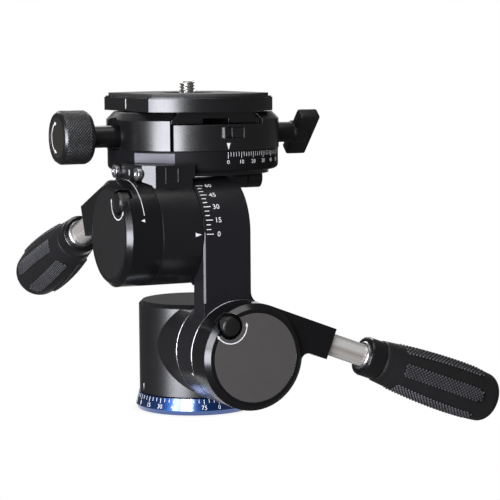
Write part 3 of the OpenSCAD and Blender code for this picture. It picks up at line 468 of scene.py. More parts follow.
# Face plates: thin stamped discs let into the hubs, sprayed a matte warm grey.
# Round the pull knob a printed arc with arrowheads shows that it lifts and turns free.
# The lower plate is painted lighter and the upper one darker than the grey, as painted light and shade.

lower_seat_y, lower_turn = -44.4 * MM, radians(-21)
upper_seat_x, upper_turn = -32 * MM, radians(-21.5)


def onto_lower_lever(along, up, out):
    """A place in a lever's own frame, tilt axis upright and handle along X, put on the lower tilt."""
    across = along * cos(lower_turn) - up * sin(lower_turn)
    rise = along * sin(lower_turn) + up * cos(lower_turn)
    return Vector((across, lower_seat_y - out, lower_z + rise))


def onto_upper_lever(along, up, out):
    """The same on the upper tilt, where the lever is mirrored."""
    across = along * cos(upper_turn) - up * sin(upper_turn)
    rise = along * sin(upper_turn) + up * cos(upper_turn)
    return Vector((upper_seat_x - out, upper_y + across, upper_z + rise))


lever_places = {"lower": onto_lower_lever, "upper": onto_upper_lever}


def on_lever(side, piece):
    """A piece built in the lever's frame, put on its tilt; the mirrored side is turned right side out."""
    wrapped(piece, lever_places[side])
    if side == "upper":
        piece.data.flip_normals()
    return piece


def sprayed(name, colour, pale, roughness):
    """Sprayed paint: an orange-peel ripple, fine matting specks and a little dust in the tone."""
    finish = Finish(name, {"Specular IOR Level": 0.35})
    dust = finish.noise(4 * MM, 4.0)
    peel = finish.noise(0.5 * MM)
    rounded, edge = finish.soft_edges(0.25 * MM)
    finish.varies("Base Color", finish.mix((dust * 0.8 + edge * 0.2).clamped(), colour, pale))
    finish.varies("Roughness", (peel - 0.5) * 0.14 + roughness)
    finish.relief(peel, 0.012 * MM, rounded)
    return finish


# The same matte grey twice: the lower plate's copy is painted lighter and the upper plate's copy darker, as
# painted light and shade.
face_greys_painted_light_and_shade = {"lower": sprayed("face plate grey, lower, painted light", shade(68, 65, 64), shade(75, 72, 71), 0.55),
              "upper": sprayed("face plate grey, upper, painted shade", shade(28, 26, 26), shade(33, 31, 31), 0.55)}
pull_reach, pull_turn, face_top = 16.4 * MM, radians(150), 14.4 * MM
pull_x, pull_y = pull_reach * cos(pull_turn), pull_reach * sin(pull_turn)


def arc_arrow(radius, from_angle, to_angle, width):
    """A flat arc about the origin, an arrowhead at each end."""
    mid = radius * radians(from_angle + to_angle) / 2
    arc = flat_bar(radius * radians(to_angle - from_angle), width, 30)
    arc.data.transform(Matrix.Translation((mid, width / 2, 0)))
    parts = [arc]
    for angle, way in ((from_angle, -90), (to_angle, 90)):
        head = flat_triangle(3 * width, 3.4 * width)
        pointing = Matrix.Rotation(radians(way), 4, "Z")
        head.data.transform(Matrix.Translation((radius * radians(angle), 0, 0)) @ pointing)
        parts.append(head)
    return wrapped(joined("arrow", parts), lambda along, across, out: Vector(
        ((radius - across) * cos(along / radius), (radius - across) * sin(along / radius), out)))


for side, finish in face_greys_painted_light_and_shade.items():
    finish.cover(f"{side}_face_plate")
    arrow = arc_arrow(radius=6.6 * MM, from_angle=-120, to_angle=20, width=0.4 * MM)
    arrow.data.transform(Matrix.Translation((pull_x, pull_y, face_top)))
    arrow.data.flip_normals()
    on_lever(side, arrow)
    arrow.name = f"{side}_pull_arrow"
    white_ink.paint(arrow)
    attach(arrow, f"{side}_lever")


# Pull knobs: small turned buttons that lift a lever's pin out of its seat, black, with a diamond knurl.
# The knurl is rolled in: rows of little pyramids, each row half a pitch on from the last.

def stud(long_half, wide_half, top_share, height):
    """One pyramid of a knurl or a pad: four sides and a small flat top, its point upwards."""
    bpy.ops.mesh.primitive_cone_add(vertices=4, radius1=1, radius2=top_share, depth=1, location=(0, 0, 0.5))
    pyramid = bpy.context.object
    sized = Matrix.Diagonal((long_half, wide_half, height, 1))
    pyramid.data.transform(sized @ Matrix.Translation((0, 0, 0.5)))
    pyramid.matrix_world = Matrix.Identity(4)
    return pyramid


def rows_of_studs(name, pyramid, places):
    """The same stud repeated at each of the places."""
    block = joined(name, [copied(pyramid, Matrix.Translation(place)) for place in places])
    bpy.data.objects.remove(pyramid)
    return block


def knurl(name, radius, low, high, pitch, depth):
    """A flat strip of diamond knurl, one turn long, between two heights."""
    count = round(2 * pi * radius / pitch)
    pitch = 2 * pi * radius / count
    rows = 2 * round((high - low) / pitch) - 1
    places = [(pitch * (column + row % 2 / 2), low + (high - low) * (row + 1) / (rows + 1), 0)
              for row in range(rows) for column in range(count)]
    return rows_of_studs(name, stud(0.52 * pitch, 0.52 * pitch, 0.25, depth), places)


def chain(name, points):
    """A row of points joined by edges, as a new piece that the next operators work on."""
    mesh = bpy.data.meshes.new(name)
    mesh.from_pydata(points, [(i, i + 1) for i in range(len(points) - 1)], [])
    piece = bpy.data.objects.new(name, mesh)
    bpy.context.scene.collection.objects.link(piece)
    bpy.ops.object.select_all(action="DESELECT")
    piece.select_set(True)
    bpy.context.view_layer.objects.active = piece
    return piece


def turned(name, profile, steps=72):
    """A lathe-turned piece about the X axis, from its profile of (along, radius) points."""
    piece = chain(name, [(along, 0, radius) for along, radius in profile])
    bpy.ops.object.mode_set(mode="EDIT")
    bpy.ops.mesh.select_all(action="SELECT")
    bpy.ops.mesh.spin(steps=steps, angle=2 * pi, center=(0, 0, 0), axis=(1, 0, 0))
    bpy.ops.mesh.select_all(action="SELECT")
    bpy.ops.mesh.remove_doubles(threshold=0.001 * MM)
    bpy.ops.mesh.normals_make_consistent(inside=False)
    bpy.ops.object.mode_set(mode="OBJECT")
    bpy.ops.object.shade_smooth_by_angle(angle=radians(28))
    return piece


pull_r, pull_low, pull_high, pull_crown = 4 * MM, 10.1 * MM, 15.1 * MM, 15.16 * MM
pull_shoulder, knurl_pitch, knurl_depth = pull_high - 0.9 * MM, 0.72 * MM, 0.22 * MM
core = pull_r - knurl_depth
black_knurled = anodised("black anodised, knurled", shade(13, 13, 14), shade(60, 60, 64), 0.32, lines=0.2)
upright = Matrix.Rotation(radians(-90), 4, "Y")


def onto_pull_knob(along, up, out):
    radius, angle = core + out, along / core
    return Vector((radius * cos(angle), radius * sin(angle), up))


pull_profile = [
    (pull_low, 1.4 * MM), (pull_low, core - 0.3 * MM), (pull_low + 0.3 * MM, core), (pull_shoulder, core),
    (pull_high - 0.75 * MM, core - 0.1 * MM), (pull_high - 0.35 * MM, core - 0.25 * MM),
    (pull_high - 0.05 * MM, core - 0.7 * MM), (pull_crown, core - 1.2 * MM), (pull_crown, 0)]
for side in ("lower", "upper"):
    button = turned(f"{side}_pull_button", pull_profile)
    button.data.transform(upright)
    rows = knurl("pull_knurl", core, pull_low + 0.4 * MM, pull_shoulder, knurl_pitch, knurl_depth)
    button = joined(f"{side}_pull_button", [button, wrapped(rows, onto_pull_knob)])
    button.data.transform(Matrix.Translation((pull_x, pull_y, 0)))
    black_knurled.paint(on_lever(side, button))
    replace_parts(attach(button, f"{side}_pull"), f"{side}_pull_knob")


# Springs of the pull knobs: coiled steel wire round each pin, behind its knob.
# A spring stands on a shoulder of the pin, which presses it together when the knob is drawn out; here the
# coil keeps its length and rides with the lever.

coil_r, wire_r, coil_turns = 2.2 * MM, 0.3 * MM, 6
for side, out_axis in (("lower", 1), ("upper", 0)):
    low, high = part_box(f"{side}_pull_spring")
    length, middle = high[out_axis] - low[out_axis], (low + high) / 2
    bpy.ops.mesh.primitive_circle_add(vertices=10, radius=wire_r, location=(coil_r, 0, 0),
                                      rotation=(pi / 2, 0, 0))
    bpy.ops.object.transform_apply()
    coil = bpy.context.object
    coil.name = f"{side}_pull_coil"
    winding = coil.modifiers.new("winding", "SCREW")
    winding.screw_offset, winding.iterations = (length - 2 * wire_r) / coil_turns, coil_turns
    winding.steps, winding.render_steps = 28, 28
    bpy.ops.object.modifier_apply(modifier="winding")
    bpy.ops.object.mode_set(mode="EDIT")
    bpy.ops.mesh.select_all(action="SELECT")
    bpy.ops.mesh.edge_face_add()
    bpy.ops.mesh.normals_make_consistent(inside=False)
    bpy.ops.object.mode_set(mode="OBJECT")
    coil.data.transform(Matrix.Translation((0, 0, wire_r - length / 2)))
    coil.data.transform(Matrix.Translation(middle) @ Matrix.Rotation(pi / 2, 4, "XY"[1 - out_axis]))
    steel.paint(coil)
    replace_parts(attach(coil, f"{side}_lever"), f"{side}_pull_spring")
    outwards = Vector((0, 0, 0))
    outwards[out_axis] = -1
    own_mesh(coil)


# Highlight beads of the lower tilt: a thin bright bare-metal bead round the back of the arm's disc and
# round the back of the lever hub, a painted highlight put where the black chamfer edge catches the light.

# A bright bare-metal bead painted in as the highlight on a black chamfer edge.
bead_metal_painted_highlight = bare_metal("bright bead, painted edge highlight", shade(206, 206, 210), shade(188, 188, 192), 0.25,
                       (0, 1, 0), (0, 0, lower_z))
half, flat_half, root, crest = 0.22 * MM, 0.088 * MM, tilt_r - 0.22 * MM, tilt_r + 0.13 * MM
for name, mid, body in (("arm_highlight_bead", 29.84 * MM, "arm"), ("hub_highlight_bead", 44.64 * MM, "lower_lever")):
    bead = turned(name, [(mid - half, root), (mid - half, tilt_r), (mid - flat_half, crest),
                         (mid + flat_half, crest), (mid + half, tilt_r), (mid + half, root),
                         (mid - half, root)], 128)
    wrapped(bead, lambda along, across, up: Vector((across, -along, lower_z + up)))
    bead_metal_painted_highlight.paint(bead)
    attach(bead, body)


# Handle rods and ferrules: drawn stainless bar screwed into the lug, with broad light and dark streaks
# painted along it as reflections, and a stepped black collar that closes the grip, with a bright steel bush
# where the rod enters.

rod_mid, rod_y, rod_z, rod_r, ferrule_x = 60 * MM, 14.7 * MM, 6.6 * MM, 4.5 * MM, 48.6 * MM


def drawn_bar(name, axis, centre):
    """Bright bar with broad light and dark streaks along it painted in as reflections, fine hairlines that
    run along it, and a faint grain.
    """
    finish = Finish(name, {"Metallic": 0.55})
    # Painted reflections: broad light and dark streaks mixed into the colour along the bar.
    painted_reflection_streaks = (finish.drawn_lines(axis, centre, 3 * MM) * 3 - 1).clamped()
    hairs = finish.drawn_lines(axis, centre, 0.3 * MM)
    finish.varies("Base Color", finish.mix(painted_reflection_streaks, shade(188, 179, 170), shade(250, 248, 244)))
    finish.varies("Roughness", hairs * 0.2 + 0.2)
    grain = finish.lathe_lines(Z_AXIS, ON_AXIS, 0.22 * MM)
    finish.relief(grain, 0.004 * MM, finish.soft_edges(0.2 * MM)[0])
    return finish


bush_out, bush_in, bush_bore = ferrule_x - 0.5 * MM, ferrule_x + 0.1 * MM, rod_r + 0.1 * MM
bush_profile = [(bush_in, rod_r + 1.3 * MM), (ferrule_x - 0.1 * MM, rod_r + 1.25 * MM),
                (bush_out, rod_r + 0.75 * MM), (bush_out, bush_bore), (bush_in, bush_bore)]
for side, place in lever_places.items():
    centre = place(rod_mid, rod_y, rod_z)
    axis = tuple((place(rod_mid + MM, rod_y, rod_z) - centre) / MM)
    drawn_bar(f"stainless rod, {side}", axis, tuple(centre)).cover(f"{side}_rod")
    collar = anodised(f"black anodised, ferrule, {side}", shade(13, 13, 15), shade(120, 120, 126), 0.22,
                      axis, tuple(centre), lines=0.2)
    collar.cover(f"{side}_ferrule")
    bush = turned(f"{side}_rod_bush", bush_profile)
    bush.data.transform(Matrix.Translation((0, rod_y, rod_z)))
    steel.paint(on_lever(side, bush))
    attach(bush, f"{side}_lever")


# Grips: hollow black mouldings pushed on the rods, slim at the neck, swelling to the hand and rounded off.
# The moulded skin is satin, with a fine even grain.

grip_x, grip_l, grip_end_round, grip_full_at = 56.1 * MM, 56.7 * MM, 5 * MM, 0.66
grip_front_r, grip_r, grip_end_r = 8.4 * MM, 11 * MM, 9.6 * MM


def grip_radius(along):
    share = along / grip_l
    if share < grip_full_at:
        return grip_front_r + (grip_r - grip_front_r) * sin(pi / 2 * share / grip_full_at)
    return grip_r - (grip_r - grip_end_r) * ((share - grip_full_at) / (1 - grip_full_at)) ** 2


side_l = grip_l - grip_end_round
grip_profile = [(0.2 * MM, rod_r), (0, rod_r + 0.4 * MM), (0, grip_front_r - 0.5 * MM),
                (0.12 * MM, grip_front_r - 0.18 * MM), (0.5 * MM, grip_radius(0.5 * MM))]
grip_profile += [(side_l * step / 40, grip_radius(side_l * step / 40)) for step in range(1, 41)]
grip_profile += [(side_l + grip_end_round * sin(a), grip_radius(side_l) - grip_end_round * (1 - cos(a)))
                 for a in (radians(turn) for turn in range(9, 91, 9))]
grip_profile.append((grip_l, 0))
grip_plastic = moulded("grip plastic", shade(28, 27, 28), shade(40, 39, 40), 0.42, 0.35 * MM, 0.35)
along_rod = Matrix.Translation((grip_x, rod_y, rod_z))
for side in ("lower", "upper"):
    handle = turned(f"{side}_handle_grip", grip_profile, 96)
    handle.data.transform(along_rod)
    grip_plastic.paint(on_lever(side, handle))
    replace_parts(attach(handle, f"{side}_lever"), f"{side}_grip")


# Grip pads: six obround rubber inserts to a grip, moulded with rows of small diamonds.
# Each sinks a little way into the grip, with no pocket cut for it, and follows the swell of the grip.

pad_start, pad_l, pad_w, pad_proud, pad_depth = 7.5 * MM, 40 * MM, 6.2 * MM, 0.6 * MM, 0.7 * MM
pad_skin, diamond_pitch = 0.12 * MM, 1.55 * MM
pad_rubber = moulded("pad rubber", shade(16, 16, 17), shade(30, 30, 31), 0.6, 0.25 * MM, 0.3)
# The diamonds are painted lighter than the pad they stand on, as a painted highlight on their tops.
diamond_rubber_painted_highlight = moulded("pad rubber, diamonds painted light", shade(46, 46, 49), shade(80, 80, 85), 0.5, 0.3 * MM)


def pad_half(along):
    """Half the width of the obround pad at a place along it."""
    from_end = min(along, pad_l - along)
    inside = max(0.0, pad_w / 2 - from_end)
    return sqrt(max(0.0, (pad_w / 2) ** 2 - inside ** 2))


def onto_grip(along, across, out):
    radius = grip_radius(pad_start + along)
    turn = across / radius
    return Vector((pad_start + along, (radius + out) * sin(turn), (radius + out) * cos(turn)))


bpy.ops.mesh.primitive_grid_add(x_subdivisions=60, y_subdivisions=10, size=1)
pad = bpy.context.object
for corner in pad.data.vertices:
    along = (0.5 - cos(pi * (corner.co.x + 0.5)) / 2) * pad_l
    corner.co = (along, corner.co.y * 2 * max(pad_half(along), 0.02 * MM), pad_skin)
wall = pad.modifiers.new("wall", "SOLIDIFY")
wall.thickness, wall.offset = pad_skin + pad_depth, -1
bpy.ops.object.modifier_apply(modifier="wall")
pad_rubber.paint(pad)
end_margin, side_margin, diamond_half = 0.8 * MM, 0.6 * MM, 0.46 * diamond_pitch
diamonds = []
for row in range(-3, 4):
    for column in range(27):
        along, across = (column + row % 2 / 2) * diamond_pitch, row * diamond_pitch / 2
        if end_margin < along < pad_l - end_margin and abs(across) < pad_half(along) - side_margin:
            diamonds.append((along, across, pad_skin))
diamond = stud(diamond_half, diamond_half, 0.4, pad_proud - pad_skin)
studs = rows_of_studs("diamonds", diamond, diamonds)
diamond_rubber_painted_highlight.paint(studs)
pad = wrapped(joined("pad", [pad, studs]), onto_grip)
for side in ("lower", "upper"):
    pads = joined(f"{side}_diamond_pads", [
        copied(pad, along_rod @ Matrix.Rotation(radians(turn), 4, "X")) for turn in range(0, 360, 60)])
    on_lever(side, pads)
    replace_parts(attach(pads, f"{side}_lever"), f"{side}_grip_pads")
bpy.data.objects.remove(pad)


# Upper tilt body: the left drum with the bracket that carries the pan disc, milled and anodised black.
# Its front left corner is a broad blasted bevel; a shallow square pad and a white pointer sit on its front.

black_bracket = anodised("black anodised, bracket", shade(19, 19, 21), shade(100, 100, 106), 0.26,
                         (1, 0, 0), (0, upper_y, upper_z), lines=0.3, rounding=0.2 * MM,
                         steady={"Specular IOR Level": 0.7})
black_bracket.cover("tilt_body")
screw_steel = bare_metal("socket screw steel", shade(226, 226, 228), shade(200, 200, 204), 0.3, (1, 0, 0),
                         rounding=0.6 * MM)
screw_steel.cover("bracket_screws")
pointer_x = -18.4 * MM
pointer = flat_triangle(1.5 * MM, 2.4 * MM)
pointer.data.transform(Matrix.Translation((pointer_x, 0, 0)) @ sideways)
printed("tilt_pointer", [pointer], onto_tilt_drum, "tilt_body")

bracket_front, panel_x, panel_z = -34.4 * MM, -23.8 * MM, 97.9 * MM
panel_w, panel_t, panel_h, panel_sunk = 5.8 * MM, 0.6 * MM, 6.4 * MM, 0.22 * MM
bpy.ops.mesh.primitive_cube_add(size=1, location=(panel_x, bracket_front, panel_z),
                                scale=(panel_w, panel_t, panel_h))
bpy.ops.object.transform_apply()
panel = bpy.context.object
panel.name = "bracket_panel"
bpy.ops.object.mode_set(mode="EDIT")
bpy.ops.mesh.select_all(action="SELECT")
bpy.ops.mesh.bevel(offset=0.1 * MM, segments=2, affect="EDGES")
bpy.ops.mesh.select_all(action="DESELECT")
bpy.ops.object.mode_set(mode="OBJECT")
max(panel.data.polygons, key=lambda side: -side.normal.y * side.area).select = True
bpy.ops.object.mode_set(mode="EDIT")
bpy.ops.mesh.inset(thickness=0.45 * MM)
bpy.ops.mesh.extrude_region_move(TRANSFORM_OT_translate={"value": (0, panel_sunk, 0)})
bpy.ops.object.mode_set(mode="OBJECT")
black_bracket.paint(panel)
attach(panel, "tilt_body")

bracket_left, mark_y, mark_top = -34.9 * MM, -17.1 * MM, 99.6 * MM
bar = flat_bar(0.8 * MM, 2.2 * MM)
printed("bracket_mark", [bar], lambda along, up, out: Vector(
    (bracket_left - out, mark_y - along, mark_top + up)), "tilt_body")


# Pan disc and its scale: a flat turned disc under the clamp, blasted and anodised black, printed from
# the front round to the right in steps of two degrees. A small brushed plate is let into its rim,
# and a knob below it sets the drag.

pan_r, pan_top = 34.85 * MM, 106.65 * MM
black_blasted = anodised("black anodised, blasted disc", shade(22, 22, 24), shade(92, 92, 98), 0.5,
                         lines=0.1, steady={"Specular IOR Level": 0.1})
black_blasted.cover("pan_disc")


def onto_pan_disc(along, up, out):
    radius = pan_r + out
    return Vector((radius * sin(along / pan_r), -radius * cos(along / pan_r), pan_top - 0.35 * MM + up))


pan_marks = scale_marks(pan_r, degrees=(0, 181), step=2, long_step=10, short=1.75 * MM, long=2.5 * MM,
                        width=0.15 * MM, number_gap=0.5 * MM, number_h=1.65 * MM,
                        number_at=lambda angle: angle)
printed("pan_scale", pan_marks, onto_pan_disc, "tilt_body")
brushed_plate = Finish("brushed aluminium", {"Metallic": 0.35, "Specular IOR Level": 0.3})
hairlines = brushed_plate.noise(0.2 * MM, 2.0, (0.05, 0.05, 1))
brushed_plate.varies("Base Color", brushed_plate.mix(hairlines, shade(96, 95, 101), shade(112, 111, 117)))
brushed_plate.varies("Roughness", hairlines * 0.2 + 0.4)
brushed_plate.relief(hairlines, 0.006 * MM, brushed_plate.soft_edges(0.2 * MM)[0])
brushed_plate.cover("rim_plate")
drag_z = 93.8 * MM
black_across = anodised("black anodised, crosswise axis", shade(13, 13, 15), shade(96, 96, 100), 0.3,
                        (1, 0, 0), (0, 0, drag_z))
black_across.cover("drag_knob")


# Clamp: the turned body and its sliding jaw, anodised black and finely turned on the outside.
# A white triangle points down at the pan scale, and a small catch with a bright pin sits in a window.

clamp_r, clamp_z, pin_x, pin_y = 35.2 * MM, 106.85 * MM, -1.6 * MM, -32.9 * MM
black_upright = anodised("black anodised, upright axis", shade(14, 14, 16), shade(92, 92, 98), 0.28,
                         lines=0.2)
black_upright.cover("clamp_body", "clamp_jaw", "safety_catch")
pin_steel = bare_metal("catch pin steel", shade(226, 226, 228), shade(208, 208, 210), 0.2,
                       Z_AXIS, (pin_x, pin_y, 0), metallic=0.4)
pin_steel.cover("catch_pin")


def onto_clamp(along, up, out):
    radius = clamp_r + out
    return Vector((radius * sin(along / clamp_r), -radius * cos(along / clamp_r), up))


pointer_top = clamp_z + 3.1 * MM
down = flat_triangle(1.6 * MM, 2.5 * MM)
down.data.transform(Matrix.Translation((0, pointer_top, 0)))
printed("clamp_pointer", [down], onto_clamp, "clamp")


# Clamp knob: a turned black knob with a fine diamond knurl round its rim and a smooth bevelled nose.
# A dull disc is let into its end, printed with a two-headed arrow for tighter and looser.

knob_z, knob_r, neck_r, label_r = 112.15 * MM, 10.75 * MM, 4.45 * MM, 8.02 * MM
knob_nose, knob_back, knob_neck_in, label_sunk = 58.8 * MM, 45.2 * MM, 32.46 * MM, 0.6 * MM
knob_knurl, knob_pitch = 0.3 * MM, 1.25 * MM
knob_core = knob_r - knob_knurl
knurl_from, knurl_to = knob_back + 1.9 * MM, knob_nose - 1.1 * MM
clamp_knurled = anodised("black anodised, clamp knob", shade(13, 13, 15), shade(80, 80, 86), 0.3,
                         (1, 0, 0), (0, 0, knob_z), lines=0.3)


def onto_clamp_knob(along, up, out):
    radius, angle = knob_core + out, along / knob_core
    return Vector((up, radius * sin(angle), -radius * cos(angle)))


knob = turned("clamp_knob_turned", [
    (knob_neck_in, 0), (knob_neck_in, neck_r), (knob_back - 0.6 * MM, neck_r),
    (knob_back - 0.2 * MM, neck_r + 0.35 * MM), (knob_back, neck_r + MM),
    (knob_back + 0.25 * MM, knob_core - 1.7 * MM), (knob_back + 0.7 * MM, knob_core - 0.7 * MM),
    (knob_back + 1.3 * MM, knob_core - 0.15 * MM), (knurl_from, knob_core), (knurl_to, knob_core),
    (knob_nose - 0.3 * MM, knob_r - 0.85 * MM), (knob_nose - 0.1 * MM, knob_r - MM),
    (knob_nose, knob_r - 1.25 * MM), (knob_nose, label_r + 0.03 * MM),
    (knob_nose - label_sunk, label_r), (knob_nose - label_sunk, 0)], 96)
rim = knurl("knob_knurl", knob_core, knurl_from, knurl_to, knob_pitch, knob_knurl)
knob = joined("clamp_knob_turned", [knob, wrapped(rim, onto_clamp_knob)])
knob.data.transform(Matrix.Translation((0, 0, knob_z)) @ Matrix.Rotation(pi, 4, "Z"))
clamp_knurled.paint(knob)
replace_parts(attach(knob, "clamp_knob"), "clamp_knob")

label_grey = sprayed("knob disc grey", shade(38, 36, 32), shade(45, 43, 38), 0.5)
label_grey.cover("knob_label")
label_face = -knob_nose + 0.1 * MM
turn_arrow = arc_arrow(radius=5.9 * MM, from_angle=113, to_angle=247, width=0.55 * MM)
wrapped(turn_arrow, lambda along, up, out: Vector((label_face - out, -along, knob_z + up)))
turn_arrow.data.flip_normals()
turn_arrow.name = "knob_arrow"
white_ink.paint(turn_arrow)
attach(turn_arrow, "clamp_knob")


# Wing lever: a cast two-winged lever opposite the clamp knob that locks the upper pan.
# Its edges are well rounded by tumbling, and it is painted a soft black.

wing_in, wing_out, wing_half, wing_thick = 44 * MM, 54.2 * MM, 11 * MM, 5.4 * MM
wing_round, wing_taper, wing_turn = 1.1 * MM, 1.2 * MM, radians(43)
bpy.ops.mesh.primitive_cube_add(size=1, location=((wing_in + wing_out) / 2, 0, 0),
                                scale=(wing_out - wing_in, wing_thick, 2 * wing_half))
bpy.ops.object.transform_apply()
blade = bpy.context.object
bpy.ops.object.mode_set(mode="EDIT")
bpy.ops.mesh.select_all(action="SELECT")
bpy.ops.mesh.bevel(offset=wing_round, segments=4, affect="EDGES")
bpy.ops.object.mode_set(mode="OBJECT")
for corner in blade.data.vertices:
    inwards = (wing_out - corner.co.x) / (wing_out - wing_in)
    corner.co.x += wing_taper * inwards * abs(corner.co.z) / wing_half
bpy.ops.object.shade_smooth_by_angle(angle=radians(35))
neck_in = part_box("wing_lever")[0].x
neck = turned("wing_neck", [
    (neck_in, 2.4 * MM), (neck_in, 4.1 * MM), (neck_in + 0.2 * MM, 4.2 * MM), (44.4 * MM, 4.2 * MM),
    (45.2 * MM, 4.8 * MM), (50.2 * MM, 4.8 * MM), (50.8 * MM, 4.6 * MM), (51.2 * MM, 4 * MM),
    (51.3 * MM, 0)])
wing = joined("wing_lever_cast", [blade, neck])
wing.data.transform(Matrix.Translation((0, 0, knob_z)) @ Matrix.Rotation(wing_turn, 4, "X"))
soft_black = sprayed("soft black paint", shade(22, 21, 22), shade(30, 29, 30), 0.45)
soft_black.paint(wing)
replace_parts(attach(wing, "wing"), "wing_lever")


# Camera plate: a round plate with two flats and a dovetail foot, milled, black anodised, turned on its rim.
# A rubber pad covers its top, and a white tick on the left flat marks its middle.

black_upright.cover("camera_plate")
flat_x, tick_top, tick_h = -29.2 * MM, 127.1 * MM, 4 * MM
tick = flat_bar(0.7 * MM, tick_h)
printed("plate_tick", [tick], lambda along, up, out: Vector((flat_x - out, -along, tick_top + up)), "plate")
ribbed_rubber = moulded("ribbed rubber", shade(50, 50, 50), shade(66, 66, 65), 0.6, 0.3 * MM, 0.35)
ribbed_rubber.cover("plate_pad")


# Camera screw: a 1/4 inch stainless screw held in the plate, its thread rolled at 20 turns to the inch.
# Its slotted head is hidden under the plate.

screw_x, thread_r, pitch, turns = -2.2 * MM, 3.175 * MM, 1.27 * MM, 4
thread_low, thread_tip, root_r = 128.3 * MM, 134.15 * MM, thread_r - 0.6 * MM
outline = [(root_r, 0), (root_r, 0.12), (thread_r, 0.45), (thread_r, 0.6), (root_r, 0.93), (root_r, 1)]
thread = chain("camera_thread", [(radius, 0, share * pitch) for radius, share in outline])
helix = thread.modifiers.new("helix", "SCREW")
helix.screw_offset, helix.iterations, helix.steps, helix.render_steps = pitch, turns, 48, 48
helix.use_merge_vertices, helix.merge_threshold = True, 0.001 * MM
bpy.ops.object.modifier_apply(modifier="helix")
thread.data.transform(Matrix.Translation((0, 0, thread_low - 0.4 * pitch)))
stem_low = thread_low - 4 * MM
stem = turned("camera_stem", [
    (stem_low, 0), (stem_low, root_r), (thread_tip - 0.9 * MM, root_r + 0.02 * MM),
    (thread_tip - 0.55 * MM, root_r), (thread_tip - 0.2 * MM, root_r - 0.35 * MM),
    (thread_tip, root_r - 0.8 * MM), (thread_tip, 0)], 64)
stem.data.transform(upright)
head_low, head_r, shank_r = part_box("camera_screw")[0].z, 7.1 * MM, 2.5 * MM
head_high, shank_top = head_low + 2.6 * MM, stem_low + 0.2 * MM
head = turned("camera_screw_head", [
    (head_low, 0), (head_low, head_r - 0.4 * MM), (head_low + 0.4 * MM, head_r),
    (head_high - 0.3 * MM, head_r), (head_high, head_r - 0.3 * MM), (head_high, shank_r),
    (shank_top, shank_r), (shank_top, 0)], 64)
head.data.transform(upright)
camera_screw = joined("camera_screw_threaded", [thread, stem, head])
bpy.ops.object.mode_set(mode="EDIT")
bpy.ops.mesh.select_all(action="SELECT")
bpy.ops.mesh.normals_make_consistent(inside=False)
bpy.ops.object.mode_set(mode="OBJECT")
bpy.ops.object.shade_smooth_by_angle(angle=radians(30))
camera_screw.data.transform(Matrix.Translation((screw_x, 0, 0)))
stainless = bare_metal("stainless screw", shade(236, 234, 230), shade(216, 214, 210), 0.3,
                       Z_AXIS, (screw_x, 0, 0))
stainless.paint(camera_screw)
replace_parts(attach(camera_screw, "camera_screw"), "camera_screw")


# Stand: a small round white table under the base, white to the camera and in shiny parts near its edge.
# Towards the middle it goes over to matte white, so the shadow of the base fades out softly.
# It is small enough for a handle to swing down past it.

table_r, table_z, shadow_from, shadow_to = 30 * MM, -0.1 * MM, 16 * MM, 29.5 * MM
bpy.ops.mesh.primitive_circle_add(vertices=96, radius=table_r, fill_type="NGON", location=(0, 0, table_z))
bpy.ops.object.transform_apply()
table = bpy.context.object
table.name = "studio_table"
table_white = bpy.data.materials.new("studio table white")
table_white.use_nodes = True
table_white.node_tree.nodes.clear()
shader = Shader(table_white.node_tree)
camera_ray, glossy_ray, clear_ray = shader.rays("Camera", "Glossy", "Transmission")
from_middle = shader.vector("LENGTH", shader.node("TexCoord", output="Object"), (0, 0, 0), "Value")
fade = shader.node("MapRange", {"interpolation_type": "SMOOTHSTEP"},
                   {"Value": from_middle, "From Min": shadow_from, "From Max": shadow_to})
share = camera_ray.or_else(glossy_ray).or_else(clear_ray) * (fade * 0.5 + 0.5)
matte = shader.node("BsdfDiffuse", {}, {"Color": (0.9, 0.9, 0.9, 1)})
white = shader.node("Emission", {}, {"Color": (1, 1, 1, 1), "Strength": 1.0})
surface = table_white.node_tree.nodes.new("ShaderNodeOutputMaterial").inputs["Surface"]
shader.plug(surface, shader.node("MixShader", {}, {0: share, 1: matte, 2: white}))
table.data.materials.append(table_white)


# Studio: a wide softbox low on the left, a strip and a tall light above it, gentle light from overhead
# and from behind, and a dim room, as in a product studio.
# The white sweep behind the head shows in the picture and, where it stands, in shiny parts.

view_turn, view_rise, view_roll = radians(-25.23), radians(5.76), radians(-0.43)
back = Vector((sin(view_turn) * cos(view_rise), -cos(view_turn) * cos(view_rise), sin(view_rise)))

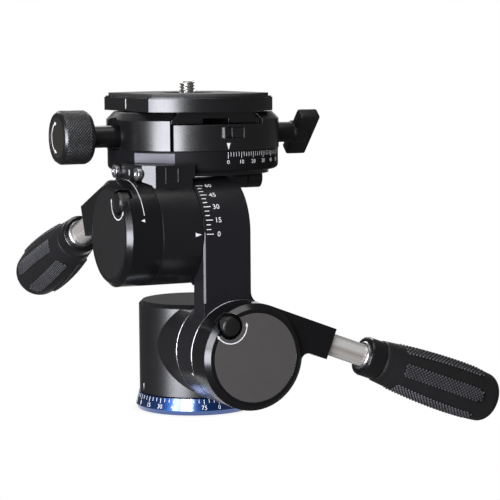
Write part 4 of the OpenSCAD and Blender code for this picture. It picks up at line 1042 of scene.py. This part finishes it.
world = bpy.data.worlds.new("studio")
bpy.context.scene.world = world
world.use_nodes = True
world.node_tree.nodes.clear()
shader = Shader(world.node_tree)
camera_ray, glossy_ray, clear_ray = shader.rays("Camera", "Glossy", "Transmission")
room_light, room_mirrored = 0.34, 0.1
facing = shader.vector("DOT_PRODUCT", shader.node("TexCoord", output="Generated"), -back, "Value")
sweep = shader.node("MapRange", {"interpolation_type": "SMOOTHSTEP"},
                    {"Value": facing, "From Min": 0.9, "From Max": 0.98})
mirrored = glossy_ray.or_else(clear_ray)
level = (mirrored * sweep).or_else(camera_ray)
room = room_light - mirrored * (room_light - room_mirrored)
backdrop = shader.node("Background", {}, {"Color": (1, 1, 1, 1), "Strength": level.or_else(room)})
shader.plug(world.node_tree.nodes.new("ShaderNodeOutputWorld").inputs["Surface"], backdrop)
head_middle, light_distance = Vector((0, -0.01, 0.07)), 1.0


def softbox(name, turn, rise, width, height, watts, tint):
    """An area lamp that looks at the middle of the head from a turn and rise given in degrees."""
    lamp = bpy.data.lights.new(name, "AREA")
    lamp.shape, lamp.size, lamp.size_y, lamp.energy, lamp.color = "RECTANGLE", width, height, watts, tint
    stand = bpy.data.objects.new(name, lamp)
    bpy.context.scene.collection.objects.link(stand)
    turn, rise = radians(turn), radians(rise)
    towards = Vector((sin(turn) * cos(rise), -cos(turn) * cos(rise), sin(rise)))
    stand.location = head_middle + towards * light_distance
    stand.rotation_euler = towards.to_track_quat("Z", "Y").to_euler()


cool, cooler, plain = (0.96, 0.97, 1.0), (0.91, 0.92, 1.0), (1, 1, 1)
softbox("key", turn=-57.5, rise=-5, width=0.7, height=0.36, watts=12, tint=cooler)
softbox("strip", turn=-41, rise=13, width=0.42, height=0.14, watts=3.2, tint=cool)
softbox("lift", turn=-62, rise=20, width=0.22, height=0.42, watts=3.2, tint=cooler)
softbox("overhead", turn=-20, rise=78, width=0.7, height=0.7, watts=3.5, tint=plain)
softbox("rear", turn=160, rise=36, width=0.8, height=0.5, watts=4, tint=plain)


# Camera: a long lens from the front left, a little above the middle of the head, with a slight roll.
# It stands where the photograph was taken from.

view_distance, shift_right, shift_up = 0.818, 23.1 * MM, 64.1 * MM
camera = bpy.data.cameras.new("camera")
camera.lens, camera.sensor_width, camera.sensor_fit = 142.06, 36, "HORIZONTAL"
camera.clip_start, camera.clip_end = 0.05, 20
viewer = bpy.data.objects.new("camera", camera)
bpy.context.scene.collection.objects.link(viewer)
right = Vector((cos(view_turn), sin(view_turn), 0))
up = back.cross(right)
viewer.location = back * view_distance + right * shift_right + up * shift_up
rolled_right = right * cos(view_roll) + up * sin(view_roll)
rolled_up = up * cos(view_roll) - right * sin(view_roll)
viewer.rotation_euler = Matrix((rolled_right, rolled_up, back)).transposed().to_euler()
bpy.context.scene.camera = viewer
bpy.context.scene.view_settings.view_transform = "Standard"
